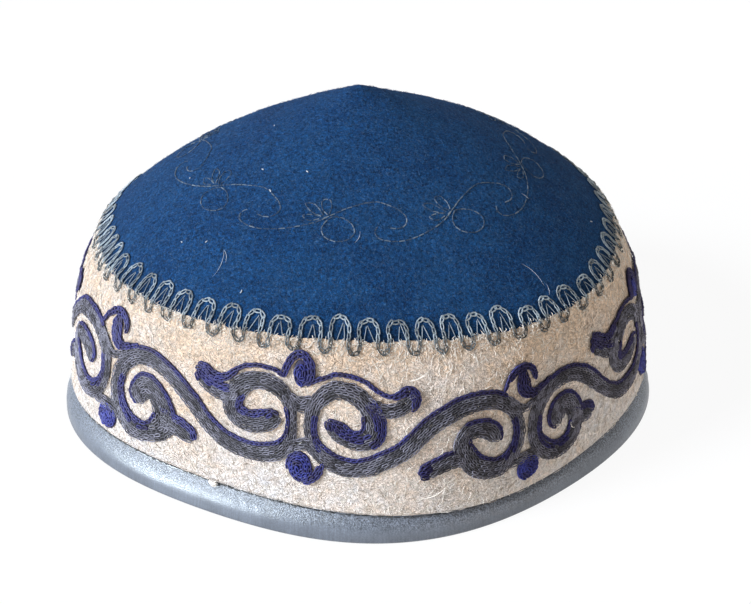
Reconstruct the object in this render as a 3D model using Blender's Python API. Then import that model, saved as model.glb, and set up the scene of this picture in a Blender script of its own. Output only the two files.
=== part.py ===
"""Doppa cap: a soft felt cap with a blue crown, a cream side band and a satin binding round its rim.

The cap stands on its rim. Units are metres, +Z is up and -Y is the front, and the origin is the
middle of the rim on the surface that it stands on.

Three measures place every point:
    angle, in radians, runs round the cap from the front towards +X;
    rise goes up the band, from 0 at the rim to 1 at the seam with the crown;
    reach goes over the crown, from 0 at the apex to 1 at the same seam.
"""

from collections import namedtuple
from math import cos, exp, pi, radians, sin

import bmesh
import bpy
from mathutils import Vector

# Driving dimensions of the cap.
RIM_RADIUS = 0.0907
SEAM_RADIUS = 0.0799
SEAM_HEIGHT = 0.0601
DOME_HEIGHT = 0.0455

# Felt, tape and the gaps between the pieces.
FELT_THICKNESS = 0.0025
TAPE_THICKNESS = 0.0010
BINDING_HEIGHT = 0.0096
GAP = 0.0003
TAPE_CORNER = 0.0011

# How the band leans in: it stays upright at first, then turns in towards the seam.
BAND_TURN_POWER = 3.26
BAND_HOLLOW = 0.00197

# Shares of the dome's height that follow a round, a flat-topped and a conical section.
ROUND_SHARE = 0.326
FLAT_TOP_SHARE = 0.131
CONE_SHARE = 1.0 - ROUND_SHARE - FLAT_TOP_SHARE
POINT_HEIGHT = 0.0011
POINT_REACH = 0.15
APEX_SHIFT_X = -0.0005

# The felt in the tape is pressed thin, and swells out again above the tape's edge.
SWELL_HEIGHT = 0.0034

# Sine of half the angle between band and crown at the seam, which widens the gap across the mitre.
SEAM_SINE = 0.9

# The mesh: stations round the cap, and rows up the band and over the crown.
STATIONS = 64
BAND_OUTER_RISES = (0.30, 0.42, 0.54, 0.66, 0.76, 0.85, 0.93)
BAND_INNER_RISES = (0.90, 0.76, 0.58, 0.38)
CROWN_OUTER_REACHES = (0.94, 0.85, 0.74, 0.62, 0.50, 0.38, 0.27, 0.18, 0.11, 0.05)
CROWN_INNER_REACHES = (0.10, 0.20, 0.34, 0.48, 0.62, 0.76, 0.90)
CORNER_STEPS = 3
SMOOTH_LIMIT = radians(40.0)

Wave = namedtuple("Wave", "folds size crest_deg")

# Soft folds of the cap, each a wave round it: the number of crests, the size, and where a crest is.
# Sizes of the first two tables are shares of the radius, and those of the others are metres.
RIM_WAVES = (
    Wave(folds=2, size=-0.0335, crest_deg=-0.5),
    Wave(folds=3, size=-0.0250, crest_deg=4.1),
    Wave(folds=4, size=0.0404, crest_deg=7.9),
)
SEAM_WAVES = (
    Wave(folds=2, size=-0.0434, crest_deg=5.1),
    Wave(folds=4, size=-0.0134, crest_deg=7.9),
)
SEAM_SHIFT_WAVES = (Wave(folds=1, size=0.0013, crest_deg=-144.2),)
SEAM_HEIGHT_WAVES = (
    Wave(folds=1, size=0.00026, crest_deg=105.3),
    Wave(folds=2, size=0.0026, crest_deg=-42.5),
)
HOLLOW_WAVES = (Wave(folds=4, size=0.00046, crest_deg=7.9),)
DOME_TILT_WAVES = (Wave(folds=1, size=0.0035, crest_deg=0.1),)
DOME_SADDLE_WAVES = (Wave(folds=2, size=0.0037, crest_deg=-78.2),)

Finish = namedtuple("Finish", "colour roughness sheen")

BLUE_FELT = Finish(colour=(0.013, 0.075, 0.205), roughness=0.95, sheen=0.3)
CREAM_FELT = Finish(colour=(0.74, 0.66, 0.55), roughness=0.95, sheen=0.3)
GREY_SATIN = Finish(colour=(0.20, 0.26, 0.31), roughness=0.35, sheen=0.0)


def clear_scene():
    """Remove what the file holds, so that the script can be run again."""
    for old in list(bpy.data.objects):
        bpy.data.objects.remove(old, do_unlink=True)


def waves(table, angle):
    """Sum of a table of waves at one angle."""
    return sum(wave.size * cos(wave.folds * (angle - radians(wave.crest_deg))) for wave in table)


def ease(share):
    """Smooth step from 0 to 1."""
    share = min(1.0, max(0.0, share))
    return share * share * (3.0 - 2.0 * share)


def seam_radius(angle):
    return SEAM_RADIUS * (1.0 + waves(SEAM_WAVES, angle)) + waves(SEAM_SHIFT_WAVES, angle)


def seam_height(angle):
    return SEAM_HEIGHT + waves(SEAM_HEIGHT_WAVES, angle)


def band_radius(angle, rise):
    """The band's outer radius: from the rim's outline to the seam's, a little hollow in between."""
    turn = rise**BAND_TURN_POWER
    rim = RIM_RADIUS * (1.0 + waves(RIM_WAVES, angle))
    hollow = (BAND_HOLLOW - waves(HOLLOW_WAVES, angle)) * sin(pi * rise)
    return rim * (1.0 - turn) + seam_radius(angle) * turn - hollow


def around(angle, radius, height):
    """The point at an angle, a radius and a height."""
    return Vector((radius * sin(angle), -radius * cos(angle), height))


def band_point(angle, rise):
    """A point of the band's outer face."""
    return around(angle, band_radius(angle, rise), seam_height(angle) * rise)


def crown_point(angle, reach):
    """A point of the crown's outer face: a dome between round and conical, with a small point on top."""
    inside = 1.0 - reach**2
    section = ROUND_SHARE * inside + FLAT_TOP_SHARE * (1.0 - reach**4) + CONE_SHARE * (1.0 - reach)
    height = seam_height(angle) * reach**2 + SEAM_HEIGHT * inside + DOME_HEIGHT * section
    height += POINT_HEIGHT * exp(-((reach / POINT_REACH) ** 2))
    height += waves(DOME_TILT_WAVES, angle) * reach * inside
    height += waves(DOME_SADDLE_WAVES, angle) * reach**2 * inside
    point = around(angle, seam_radius(angle) * reach, height)
    point.x += APEX_SHIFT_X * (1.0 - reach)
    return point


def outward(face, angle, place):
    """The outward direction of a face, from its slopes round the cap and up towards the apex."""
    step = 1e-4
    upwards = step if face is band_point else -step
    round_slope = face(angle + step, place) - face(angle - step, place)
    up_slope = face(angle, place + upwards) - face(angle, place - upwards)
    return round_slope.cross(up_slope).normalized()


def seam_mitre(angle):
    """The way from the seam's outer edge to its inner one, where both felts keep their thickness."""
    side = outward(band_point, angle, 1.0)
    top = outward(crown_point, angle, 1.0)
    middle = (side + top).normalized()
    return middle * (-FELT_THICKNESS / middle.dot(side))


def inner_point(face, angle, place):
    """A point of the inner face: a felt's thickness inside the outer one, and mitred at the seam."""
    straight = outward(face, angle, place) * -FELT_THICKNESS
    near_seam = ease((place - 0.8) / 0.2)
    return face(angle, place) + straight.lerp(seam_mitre(angle), near_seam)


def band_inner_point(angle, rise):
    return inner_point(band_point, angle, rise)


def crown_inner_point(angle, reach):
    return inner_point(crown_point, angle, reach)


def rim_point(angle, place):
    """A point near the rim: its place is an inset from the band's outer face, and a height."""
    inset, height = place
    rise = height / seam_height(angle)
    return around(angle, band_radius(angle, rise) - inset, height)


def rows(point_at, places):
    """A row of points round the cap for each place."""
    angles = [2.0 * pi * station / STATIONS for station in range(STATIONS)]
    return [[point_at(angle, place) for angle in angles] for place in places]


def loft(name, lines, finish):
    """Join rows of points into one body, and the last row to the first. A row of one point is a pole."""
    mesh = bpy.data.meshes.new(name)
    shape = bmesh.new()
    vertices = [[shape.verts.new(point) for point in line] for line in lines]
    for low, high in zip(vertices, vertices[1:] + vertices[:1]):
        if len(low) == len(high) == 1:
            continue
        for here in range(STATIONS):
            after = (here + 1) % STATIONS
            corners = [low[here % len(low)], low[after % len(low)]]
            corners += [high[after % len(high)], high[here % len(high)]]
            shape.faces.new(list(dict.fromkeys(corners)))
    bmesh.ops.recalc_face_normals(shape, faces=shape.faces)
    shape.to_mesh(mesh)
    shape.free()
    mesh.shade_smooth()
    mesh.set_sharp_from_angle(angle=SMOOTH_LIMIT)
    mesh.materials.append(make_material(name, finish))
    piece = bpy.data.objects.new(name, mesh)
    bpy.context.scene.collection.objects.link(piece)
    return piece


def make_material(name, finish):
    material = bpy.data.materials.new(name)
    material.use_nodes = True
    shader = material.node_tree.nodes["Principled BSDF"]
    shader.inputs["Base Color"].default_value = (*finish.colour, 1.0)
    shader.inputs["Roughness"].default_value = finish.roughness
    shader.inputs["Metallic"].default_value = 0.0
    shader.inputs["Sheen Weight"].default_value = finish.sheen
    return material


def make_crown():
    """The dome of blue felt. Its lower edge meets the band's upper edge on the seam's mitre."""
    edge = 1.0 - 0.5 * GAP / (SEAM_RADIUS * SEAM_SINE)
    outer = rows(crown_point, [edge, *CROWN_OUTER_REACHES])
    inner = rows(crown_inner_point, [*CROWN_INNER_REACHES, edge])
    top = crown_point(0.0, 0.0)
    under = top - Vector((0.0, 0.0, FELT_THICKNESS))
    return loft("crown", [*outer, [top], [under], *inner], BLUE_FELT)


def make_band():
    """The side wall of cream felt. It is pressed thin in the tape, and swells out again above it."""
    pressed = TAPE_THICKNESS + GAP
    swell_start = BINDING_HEIGHT + GAP
    swell_end = swell_start + SWELL_HEIGHT
    outside = [
        (pressed, pressed),
        (pressed, BINDING_HEIGHT / 2),
        (pressed, swell_start),
        (pressed / 3, swell_start + SWELL_HEIGHT / 3),
        (0.0, swell_end),
    ]
    inside = [(FELT_THICKNESS, swell_end), (FELT_THICKNESS, BINDING_HEIGHT / 2), (FELT_THICKNESS, pressed)]
    edge = 1.0 - 0.5 * GAP / (SEAM_HEIGHT * SEAM_SINE)
    lines = rows(rim_point, outside)
    lines += rows(band_point, [*BAND_OUTER_RISES, edge])
    lines += rows(band_inner_point, [edge, *BAND_INNER_RISES])
    lines += rows(rim_point, inside)
    return loft("band", lines, CREAM_FELT)


def binding_section():
    """The tape's section, as insets and heights: a channel that opens upwards, with round lower corners."""
    width = FELT_THICKNESS + GAP + TAPE_THICKNESS
    turns = [0.5 * pi * step / CORNER_STEPS for step in range(CORNER_STEPS + 1)]
    outer_corner = [(TAPE_CORNER * (1.0 - cos(turn)), TAPE_CORNER * (1.0 - sin(turn))) for turn in turns]
    inner_corner = [(width - inset, height) for inset, height in reversed(outer_corner)]
    return [
        (0.0, BINDING_HEIGHT),
        (0.0, BINDING_HEIGHT / 2),
        *outer_corner,
        *inner_corner,
        (width, BINDING_HEIGHT),
        (width - TAPE_THICKNESS, BINDING_HEIGHT),
        (width - TAPE_THICKNESS, TAPE_THICKNESS),
        (TAPE_THICKNESS, TAPE_THICKNESS),
        (TAPE_THICKNESS, BINDING_HEIGHT / 2),
        (TAPE_THICKNESS, BINDING_HEIGHT),
    ]


def make_binding():
    """The satin tape folded over the band's lower edge. Its flat underside is what the cap stands on."""
    return loft("binding", rows(rim_point, binding_section()), GREY_SATIN)


def centre_on_rim(pieces):
    """Move the whole cap so that the origin is the middle of its outline, seen from above."""
    points = [vertex.co for piece in pieces for vertex in piece.data.vertices]
    middle_x = 0.5 * (min(point.x for point in points) + max(point.x for point in points))
    middle_y = 0.5 * (min(point.y for point in points) + max(point.y for point in points))
    for piece in pieces:
        for vertex in piece.data.vertices:
            vertex.co.x -= middle_x
            vertex.co.y -= middle_y


def main():
    clear_scene()
    pieces = [make_crown(), make_band(), make_binding()]
    centre_on_rim(pieces)


main()
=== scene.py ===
"""The looks of a doppa cap: felt crown and band, satin binding, seam loops and scroll embroidery.

Every piece is a surface worked out with numpy. Three measures place a point on the cap:
    angle, in radians, runs round the cap from the front (-Y) towards +X;
    rise goes up the band, from 0 at the rim to 1 at the seam with the crown;
    reach goes over the crown, from 0 at the apex to 1 at the same seam.
Stitches are drawn on a flat plane first, in millimetres: along the cap, up from the rim or the
seam, and lift off the felt. They are then laid on the felt by the functions whose names start
with lay_on.
"""

from collections import namedtuple

import bpy
import numpy as np
from bpy.props import FloatProperty, FloatVectorProperty, IntProperty, PointerProperty
from mathutils import Matrix, Vector


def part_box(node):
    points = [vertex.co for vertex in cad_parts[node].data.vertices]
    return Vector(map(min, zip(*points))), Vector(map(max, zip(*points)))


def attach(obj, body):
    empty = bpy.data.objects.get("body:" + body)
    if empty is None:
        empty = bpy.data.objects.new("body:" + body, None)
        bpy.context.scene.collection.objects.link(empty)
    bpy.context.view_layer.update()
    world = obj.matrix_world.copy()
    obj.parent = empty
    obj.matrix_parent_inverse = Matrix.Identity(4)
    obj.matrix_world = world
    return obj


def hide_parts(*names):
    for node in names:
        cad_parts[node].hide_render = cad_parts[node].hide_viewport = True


bl_info = {
    "name": "Doppa Cap",
    "version": (1, 0, 0),
    "blender": (4, 5, 0),
    "location": "View3D > Sidebar > Doppa Cap",
    "description": "Makes the felt, satin and embroidery of a doppa cap",
    "category": "Add Mesh",
}

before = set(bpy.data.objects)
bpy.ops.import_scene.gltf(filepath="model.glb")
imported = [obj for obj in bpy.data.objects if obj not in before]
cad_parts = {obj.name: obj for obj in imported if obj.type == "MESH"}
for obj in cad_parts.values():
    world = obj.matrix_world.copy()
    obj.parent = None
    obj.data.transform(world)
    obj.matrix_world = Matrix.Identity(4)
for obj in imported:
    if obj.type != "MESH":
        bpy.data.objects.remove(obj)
BODY = "root"
MM = 0.001

# The cap's soft folds, each a wave round it: the number of crests, the size, and where a crest is.
# Sizes of the first two tables are shares of the radius, and those of the others are metres.
Wave = namedtuple("Wave", "folds size crest_deg")

RIM_WAVES = (
    Wave(folds=2, size=-0.0335, crest_deg=-0.5),
    Wave(folds=3, size=-0.0250, crest_deg=4.1),
    Wave(folds=4, size=0.0404, crest_deg=7.9),
)
SEAM_WAVES = (
    Wave(folds=2, size=-0.0434, crest_deg=5.1),
    Wave(folds=4, size=-0.0134, crest_deg=7.9),
)
SEAM_SHIFT_WAVES = (Wave(folds=1, size=0.0013, crest_deg=-144.2),)
SEAM_HEIGHT_WAVES = (
    Wave(folds=1, size=0.00026, crest_deg=105.3),
    Wave(folds=2, size=0.0026, crest_deg=-42.5),
)
HOLLOW_WAVES = (
    Wave(folds=2, size=0.00055, crest_deg=0.0),
    Wave(folds=4, size=0.00046, crest_deg=7.9),
)
DOME_TILT_WAVES = (Wave(folds=1, size=0.0035, crest_deg=0.1),)
DOME_SADDLE_WAVES = (Wave(folds=2, size=0.0037, crest_deg=-78.2),)

# The band's turn from the rim's outline to the seam's and its hollow, and then the crown's section:
# the shares of its three forms, and its small point.
BAND_TURN_POWER = 3.26
BAND_HOLLOW = 0.00252
ROUND_SHARE = 0.326
FLAT_TOP_SHARE = 0.131
CONE_SHARE = 1.0 - ROUND_SHARE - FLAT_TOP_SHARE
POINT_HEIGHT = 0.0011
POINT_REACH = 0.15
APEX_SHIFT_X = -0.0005

# A felt's finish: the colours of its fibres and specks, how fine its nap is, how far its grain varies,
# the shares of fibres and specks, how much painted warm light it gets higher up, and the depth of its bump.
Felt = namedtuple("Felt", "fibre speck nap_scale contrast fibre_share speck_share yellowed bump")
CROWN_FELT = Felt((0.045, 0.135, 0.29), (0.080, 0.155, 0.26), 1100.0, 0.70, 0.45, 0.55, 0.0, 0.0004)
BAND_FELT = Felt((0.97, 0.91, 0.80), (0.24, 0.17, 0.10), 900.0, 0.28, 0.75, 0.70, 0.65, 0.0008)

# Lengths on the crown, in millimetres, for what is placed by degrees and reach: its radius at the seam,
# the slant from the apex to the seam, and a mean of the two.
CROWN_RADIUS_MM = 79.9
CROWN_SLANT_MM = 92.0
CROWN_MEAN_MM = 85.0

# How far the band's upper edge stands off the crown's edge, in metres.
SEAM_LIP = 0.00025

# The rows that close the crown's edge and the band's upper edge: how far up from the seam and how far
# off the skin, in millimetres.
CROWN_EDGE = ((-0.5, -0.30), (0.0, -0.12), (0.2, -0.05))
BAND_EDGE = ((0.15, 0.02), (0.35, -0.15), (0.3, -0.45))

# How far the band's felt is pressed in under the tape, in metres.
FELT_UNDER_TAPE = 0.0014

# The tape's outside: the top of its fullest part, how far it swells out there and is drawn in at its
# stitched edge, and the radius of its lower corner, in metres.
TAPE_BELLY = 0.0030
TAPE_SWELL = 0.0012
TAPE_DRAWN_IN = 0.0017
TAPE_CORNER = 0.0009

# The channel in the tape that holds the felt's edge: its depth from the band's face, its floor over
# the rim, the play beside the felt, and the rounding of the tape's inner corner.
CHANNEL_INSET = 0.00125
CHANNEL_FLOOR = 0.0015
FELT_PLAY = 0.0003
INNER_CORNER = 0.0014

# The felt in the channel ends at the first height. Over the tape it swells out within the second.
FELT_FOOT = 0.0016
FELT_SWELL = 0.0014

# The tape's puckers: their pitch along the rim and their size, the size of its wide waves, and the
# inset where the outer side ends and they end with it.
PUCKER_PITCH = 0.0056
PUCKER_SIZE = 0.00015
TAPE_WAVE_SIZE = 0.00030
OUTER_SIDE_INSET = 0.00185

# The tape's belly is flatter where the tape is narrow, from the belly to this inset.
FLATTER_INSET = 0.0004

# How much narrower the tape is at its narrowest, in metres, and where that is.
TAPE_DIP = 0.0029
TAPE_DIP_DEG = 36.0

# The photograph's camera, found from the cap's outlines.
CAMERA_DISTANCE = 0.5003
CAMERA_TILT_DEG = 30.29
CAMERA_ROLL_DEG = 0.465
CAMERA_LENS_MM = 72.03
TARGET_X = 0.00499
TARGET_Z = 0.02953

# The lights: soft suns that shine on the cap from an angle round it and a height over the floor.
# One of them is only seen in the gleam of the satin.
Sun = namedtuple("Sun", "name round_deg height_deg strength softness_deg colour lights_felt")
SUNS = (
    Sun("key", -68.0, 34.0, 3.6, 18.0, (0.94, 1.0, 1.10), True),
    Sun("low", -60.0, 13.0, 1.7, 24.0, (0.94, 1.0, 1.10), True),
    Sun("fill", 56.0, 5.0, 0.76, 40.0, (1.0, 0.83, 0.68), True),
    Sun("gleam", -62.0, 10.0, 5.8, 13.0, (0.86, 1.0, 1.08), False),
    Sun("top", 150.0, 68.0, 0.45, 50.0, (1.0, 1.0, 1.0), True),
)

# Half the floor's width in metres, and how strongly it glows.
FLOOR_HALF = 3.0
FLOOR_GLOW = 0.92
WHITE = (1.0, 1.0, 1.0, 1.0)

# The ornament is drawn on a cylinder of this radius, in eight units of two kinds by turns.
ORNAMENT_RADIUS = 0.0882
UNIT_COUNT = 8
UNIT_STEP_DEG = 360.0 / UNIT_COUNT
FIRST_UNIT_DEG = -10.8

# A stroke of the embroidery is a ribbon of chain stitch rows along its centre line. Its points
# are (along, up, half width) in millimetres from the unit's middle and the rim. turn is +1 where
# it curls left, and its inner side is the side it curls to. A blue span is where rows along that
# side are blue: from and to as shares of the stroke's length, and the number of rows.
Stroke = namedtuple("Stroke", "thread turn points inner_blue outer_blue", defaults=((), ()))

# Solid blue buds: the centre and the half sizes, in millimetres, and the tilt in degrees.
Bud = namedtuple("Bud", "along up half_width half_height tilt_deg")

LOW_WEST_SCROLL = Stroke(
    thread="grey",
    turn=1,
    inner_blue=((0.0, 0.5, 1), (0.73, 1.0, 2)),
    points=(
        (-34.7, 31.5, 3.0), (-29.6, 27.3, 3.1), (-23.2, 24.8, 3.2), (-17.3, 24.3, 3.1),
        (-12.3, 24.8, 3.1), (-7.9, 26.4, 3.0), (-4.7, 29.6, 2.5), (-3.3, 33.5, 2.0),
        (-3.2, 37.3, 1.9), (-3.8, 41.0, 2.2), (-5.9, 44.6, 2.5), (-9.4, 46.5, 2.7),
        (-13.6, 46.9, 2.7), (-17.7, 45.7, 3.0), (-21.2, 42.6, 3.3), (-22.9, 38.7, 3.6),
        (-22.2, 35.4, 3.8), (-19.7, 34.0, 3.7), (-15.3, 33.9, 3.6), (-11.6, 35.2, 3.4),
        (-9.4, 36.3, 3.0), (-8.0, 37.2, 2.1), (-7.4, 37.7, 1.1),
    ),
)
LOW_WEST_TAIL = Stroke(
    thread="grey",
    turn=-1,
    inner_blue=((0.15, 0.6, 2), (0.6, 0.8, 3), (0.8, 1.0, 5)),
    points=(
        (-21.2, 41.1, 3.1), (-25.6, 40.3, 3.0), (-29.6, 40.9, 2.9), (-32.3, 42.5, 3.0),
        (-34.5, 44.3, 2.7), (-36.0, 45.0, 1.3),
    ),
)
LOW_UPPER_BRIDGE = Stroke(
    thread="grey",
    turn=1,
    points=((-4.2, 44.2, 1.8), (-2.2, 42.7, 2.3), (-0.2, 42.3, 2.6), (1.7, 43.2, 2.2), (3.2, 44.4, 1.3)),
)
LOW_LOWER_BRIDGE = Stroke(
    thread="grey",
    turn=1,
    points=((-4.9, 28.0, 2.1), (-1.7, 29.6, 1.9), (1.2, 30.4, 2.1), (4.4, 29.1, 2.3), (6.4, 27.4, 2.3)),
)
LOW_EAST_SCROLL = Stroke(
    thread="grey",
    turn=-1,
    inner_blue=((0.0, 0.34, 1), (0.34, 0.49, 2), (0.76, 0.83, 1), (0.83, 1.0, 3)),
    outer_blue=((0.73, 0.81, 3), (0.81, 0.85, 2)),
    points=(
        (34.7, 34.6, 3.0), (29.6, 30.3, 3.0), (24.6, 27.9, 3.1), (20.2, 25.8, 3.1),
        (15.3, 24.9, 3.1), (10.4, 25.8, 3.1), (6.4, 28.0, 2.9), (3.7, 31.3, 2.4),
        (2.7, 35.1, 2.2), (2.9, 38.9, 2.2), (3.8, 42.2, 2.3), (5.9, 45.0, 2.6),
        (9.4, 47.3, 2.6), (13.3, 47.5, 2.6), (17.3, 46.0, 2.9), (20.2, 43.1, 3.0),
        (21.7, 38.9, 3.7), (20.7, 35.1, 3.8), (17.7, 33.7, 3.2), (14.5, 34.0, 2.9),
        (11.6, 35.7, 3.2), (9.1, 37.4, 2.2), (7.8, 38.6, 0.9),
    ),
)
LOW_EAST_TAIL = Stroke(
    thread="grey",
    turn=1,
    points=(
        (19.7, 43.9, 2.6), (23.7, 42.9, 2.3), (27.6, 42.7, 2.2), (31.1, 44.0, 2.1),
        (33.3, 45.6, 1.6), (34.4, 46.6, 0.8),
    ),
)
LOW_WEST_CREST = Stroke(
    thread="blue",
    turn=1,
    points=(
        (-6.3, 49.6, 0.9), (-9.4, 50.6, 0.9), (-13.3, 50.9, 0.9), (-18.2, 50.1, 0.9),
        (-22.2, 48.0, 1.0), (-25.6, 45.4, 1.2), (-29.1, 45.0, 1.4), (-32.0, 46.2, 1.4),
        (-34.6, 47.2, 1.0),
    ),
)
LOW_RING = Stroke(
    thread="blue",
    turn=-1,
    points=(
        (-6.3, 49.8, 1.0), (-5.3, 52.6, 1.1), (-3.8, 54.9, 1.15), (-1.7, 56.0, 1.15),
        (0.5, 55.3, 1.15), (2.2, 53.2, 1.15), (2.5, 50.8, 1.15), (1.6, 48.4, 0.9),
    ),
)
LOW_EAST_CREST = Stroke(
    thread="blue",
    turn=-1,
    points=(
        (1.0, 47.9, 1.0), (5.4, 49.9, 0.85), (10.4, 51.5, 0.8), (15.3, 51.2, 0.8), (19.7, 49.8, 0.8),
        (23.2, 47.5, 0.8), (26.6, 46.3, 0.9), (29.1, 46.9, 1.1), (31.6, 47.9, 1.4),
        (33.6, 47.4, 1.6), (34.6, 45.8, 1.6), (34.3, 44.1, 1.3), (33.3, 42.9, 0.8),
    ),
)
LOW_HOOK = Stroke(
    thread="blue",
    turn=1,
    points=((0.8, 18.4, 1.2), (3.6, 20.0, 1.3), (5.4, 22.6, 1.2), (6.4, 25.0, 0.8)),
)
HIGH_WEST_SCROLL = Stroke(
    thread="grey",
    turn=-1,
    inner_blue=((0.42, 0.6, 2), (0.6, 0.84, 1)),
    outer_blue=((0.0, 0.34, 1), (0.86, 1.0, 1)),
    points=(
        (-34.7, 34.6, 3.1), (-30.6, 37.8, 3.1), (-25.6, 40.2, 3.1), (-19.7, 42.0, 3.1),
        (-13.3, 42.3, 3.0), (-7.9, 41.1, 2.9), (-3.9, 38.1, 2.6), (-1.4, 34.0, 2.4),
        (-0.7, 29.6, 2.3), (-1.6, 25.2, 2.5), (-4.2, 21.7, 2.9), (-8.1, 19.7, 3.4),
        (-12.3, 20.0, 3.6), (-16.5, 22.2, 3.8), (-19.5, 26.3, 3.5), (-21.0, 30.7, 3.2),
        (-19.0, 33.7, 3.0), (-15.8, 34.1, 3.1), (-12.4, 33.2, 3.3), (-10.2, 31.4, 3.1),
        (-9.0, 29.6, 2.3), (-8.5, 28.5, 1.1),
    ),
)
HIGH_WEST_TAIL = Stroke(
    thread="grey",
    turn=-1,
    inner_blue=((0.2, 0.70, 1), (0.70, 1.0, 3)),
    outer_blue=((0.82, 1.0, 2),),
    points=(
        (-20.2, 25.8, 3.2), (-24.6, 26.0, 3.1), (-28.8, 24.8, 3.0), (-31.6, 23.7, 2.9), (-33.4, 22.9, 2.4),
        (-34.4, 22.6, 1.3),
    ),
)
HIGH_UPPER_BRIDGE = Stroke(
    thread="grey",
    turn=1,
    points=((-4.9, 39.5, 2.4), (-1.5, 36.9, 2.1), (2.0, 35.7, 1.4), (5.4, 36.9, 1.2), (8.4, 38.6, 1.4)),
)
HIGH_LOWER_BRIDGE = Stroke(
    thread="grey",
    turn=1,
    points=((-4.4, 19.2, 2.1), (-0.5, 19.2, 1.9), (3.5, 19.2, 1.9), (6.9, 18.1, 2.1)),
)
HIGH_EAST_SCROLL = Stroke(
    thread="grey",
    turn=1,
    inner_blue=((0.4, 0.7, 2), (0.7, 0.78, 1)),
    outer_blue=((0.0, 0.27, 1), (0.8, 1.0, 1)),
    points=(
        (34.7, 31.5, 3.1), (31.1, 35.0, 3.1), (26.6, 38.1, 3.0), (22.2, 39.8, 3.0),
        (17.3, 40.2, 3.0), (12.8, 39.1, 2.9), (8.9, 36.1, 2.8), (6.3, 32.1, 2.8),
        (5.4, 27.4, 2.9), (6.4, 22.7, 3.1), (9.6, 18.7, 3.3), (14.3, 16.4, 3.4),
        (18.7, 16.7, 3.2), (22.2, 19.2, 3.4), (23.9, 23.3, 3.6), (22.9, 28.0, 3.7),
        (20.1, 30.9, 3.9), (17.2, 31.0, 4.2), (15.2, 29.0, 4.2), (14.6, 26.6, 3.5), (14.9, 24.8, 1.9),
    ),
)
HIGH_EAST_TAIL = Stroke(
    thread="grey",
    turn=-1,
    outer_blue=((0.0, 0.3, 1), (0.3, 1.0, 2)),
    points=((23.0, 23.2, 3.6), (26.4, 23.4, 3.5), (29.2, 23.1, 3.5), (31.4, 22.4, 2.9), (32.6, 21.8, 1.5)),
)
HIGH_RING = Stroke(
    thread="blue",
    turn=-1,
    points=(
        (-5.2, 43.5, 0.8), (-3.2, 46.2, 1.0), (-0.5, 48.2, 1.1), (2.5, 48.9, 1.1),
        (5.2, 48.1, 1.1), (6.5, 46.3, 1.1), (6.4, 44.2, 0.9),
    ),
)
HIGH_BUD = Stroke(
    thread="blue",
    turn=1,
    points=(
        (2.3, 47.6, 1.5), (1.9, 44.4, 2.5), (2.4, 41.7, 2.4), (4.2, 39.9, 1.8), (6.5, 39.9, 1.3),
        (9.2, 41.0, 1.0), (12.6, 42.5, 0.75),
    ),
)

ROUND_LOW_STROKES = (
    LOW_WEST_SCROLL, LOW_WEST_TAIL, LOW_UPPER_BRIDGE, LOW_LOWER_BRIDGE, LOW_EAST_SCROLL,
    LOW_EAST_TAIL, LOW_WEST_CREST, LOW_RING, LOW_EAST_CREST, LOW_HOOK,
)
ROUND_LOW_BUDS = (Bud(-0.9, 50.8, 2.6, 4.0, 6.0), Bud(-0.5, 22.8, 4.3, 5.5, 4.0))
ROUND_HIGH_STROKES = (
    HIGH_WEST_SCROLL, HIGH_WEST_TAIL, HIGH_UPPER_BRIDGE, HIGH_LOWER_BRIDGE, HIGH_EAST_SCROLL,
    HIGH_EAST_TAIL, HIGH_RING, HIGH_BUD,
)
ROUND_HIGH_BUDS = (Bud(2.4, 15.2, 4.6, 4.5, 0.0),)

# How a unit's middle part strays from the even repeat: along and up in millimetres, a stretch as a
# share of the height, and how far its top leans along for each millimetre of height.
Stray = namedtuple("Stray", "along up stretch lean")
EVEN = Stray(along=0.0, up=0.0, stretch=0.0, lean=0.0)
STRAYS = {
    2: Stray(along=0.5, up=-4.2, stretch=0.0, lean=0.0),
    7: Stray(along=-3.4, up=0.4, stretch=0.055, lean=0.10),
}

# A unit strays in full up to the first distance from its middle, and less and less over the second
# one. It leans about the height of the third. All in millimetres.
STRAY_CORE = 18.0
STRAY_FADE = 16.5
STRAY_MIDDLE = 35.0

# The seam loops of the front half: where the top of each stands, in degrees, and how high it is
# over the seam, in millimetres. Those of the back are even.
FRONT_LOOPS = (
    (-77.0, 5.1), (-72.2, 5.2), (-67.5, 5.1), (-62.4, 4.5), (-56.2, 5.0), (-50.3, 4.8), (-45.1, 5.0),
    (-39.7, 5.1), (-33.8, 4.8), (-27.8, 5.0), (-22.4, 5.0), (-16.9, 4.3), (-9.9, 5.2), (-3.9, 5.9),
    (2.4, 5.3), (9.0, 5.0), (15.4, 5.3), (21.0, 5.8), (27.3, 5.3), (33.1, 5.8), (40.3, 4.0),
    (45.7, 4.6), (51.9, 5.0), (59.0, 4.2), (65.6, 4.8), (71.6, 5.1),
)
BACK_LOOPS = 32

# The chain stitches of the loops, in millimetres: their spacing, length, width and tilt, and the
# radius of their thread.
LOOP_LINK = (1.85, 2.6, 0.90, 0.18)
LOOP_THREAD = 0.19

# How light the edging is beside the buds, and the units where it is darker.
EDGING_TONE = 0.50
EDGING_TONES = {1: 0.34, 2: 0.22, 3: 0.30, 6: 0.30}

# Chain stitches of the scrolls: their spacing as a share of their length, grey and blue, and the
# rise of each to its far end. The pads under them: their height over the felt, and how much
# narrower than the ribbon they are. All but the spacing in millimetres.
GREY_SPACING = 0.76
BLUE_SPACING = 0.66
LINK_TILT = 0.2
PAD_LIFT = 0.08
PAD_MARGIN = 0.35

# The reach of the crown's vine, roughly, which turns its degrees to millimetres.
VINE_REACH = 0.6

# The vine's running stitches, in millimetres: from one to the next, and the length that shows.
VINE_PITCH = 1.9
VINE_DASH = 1.6

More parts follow.
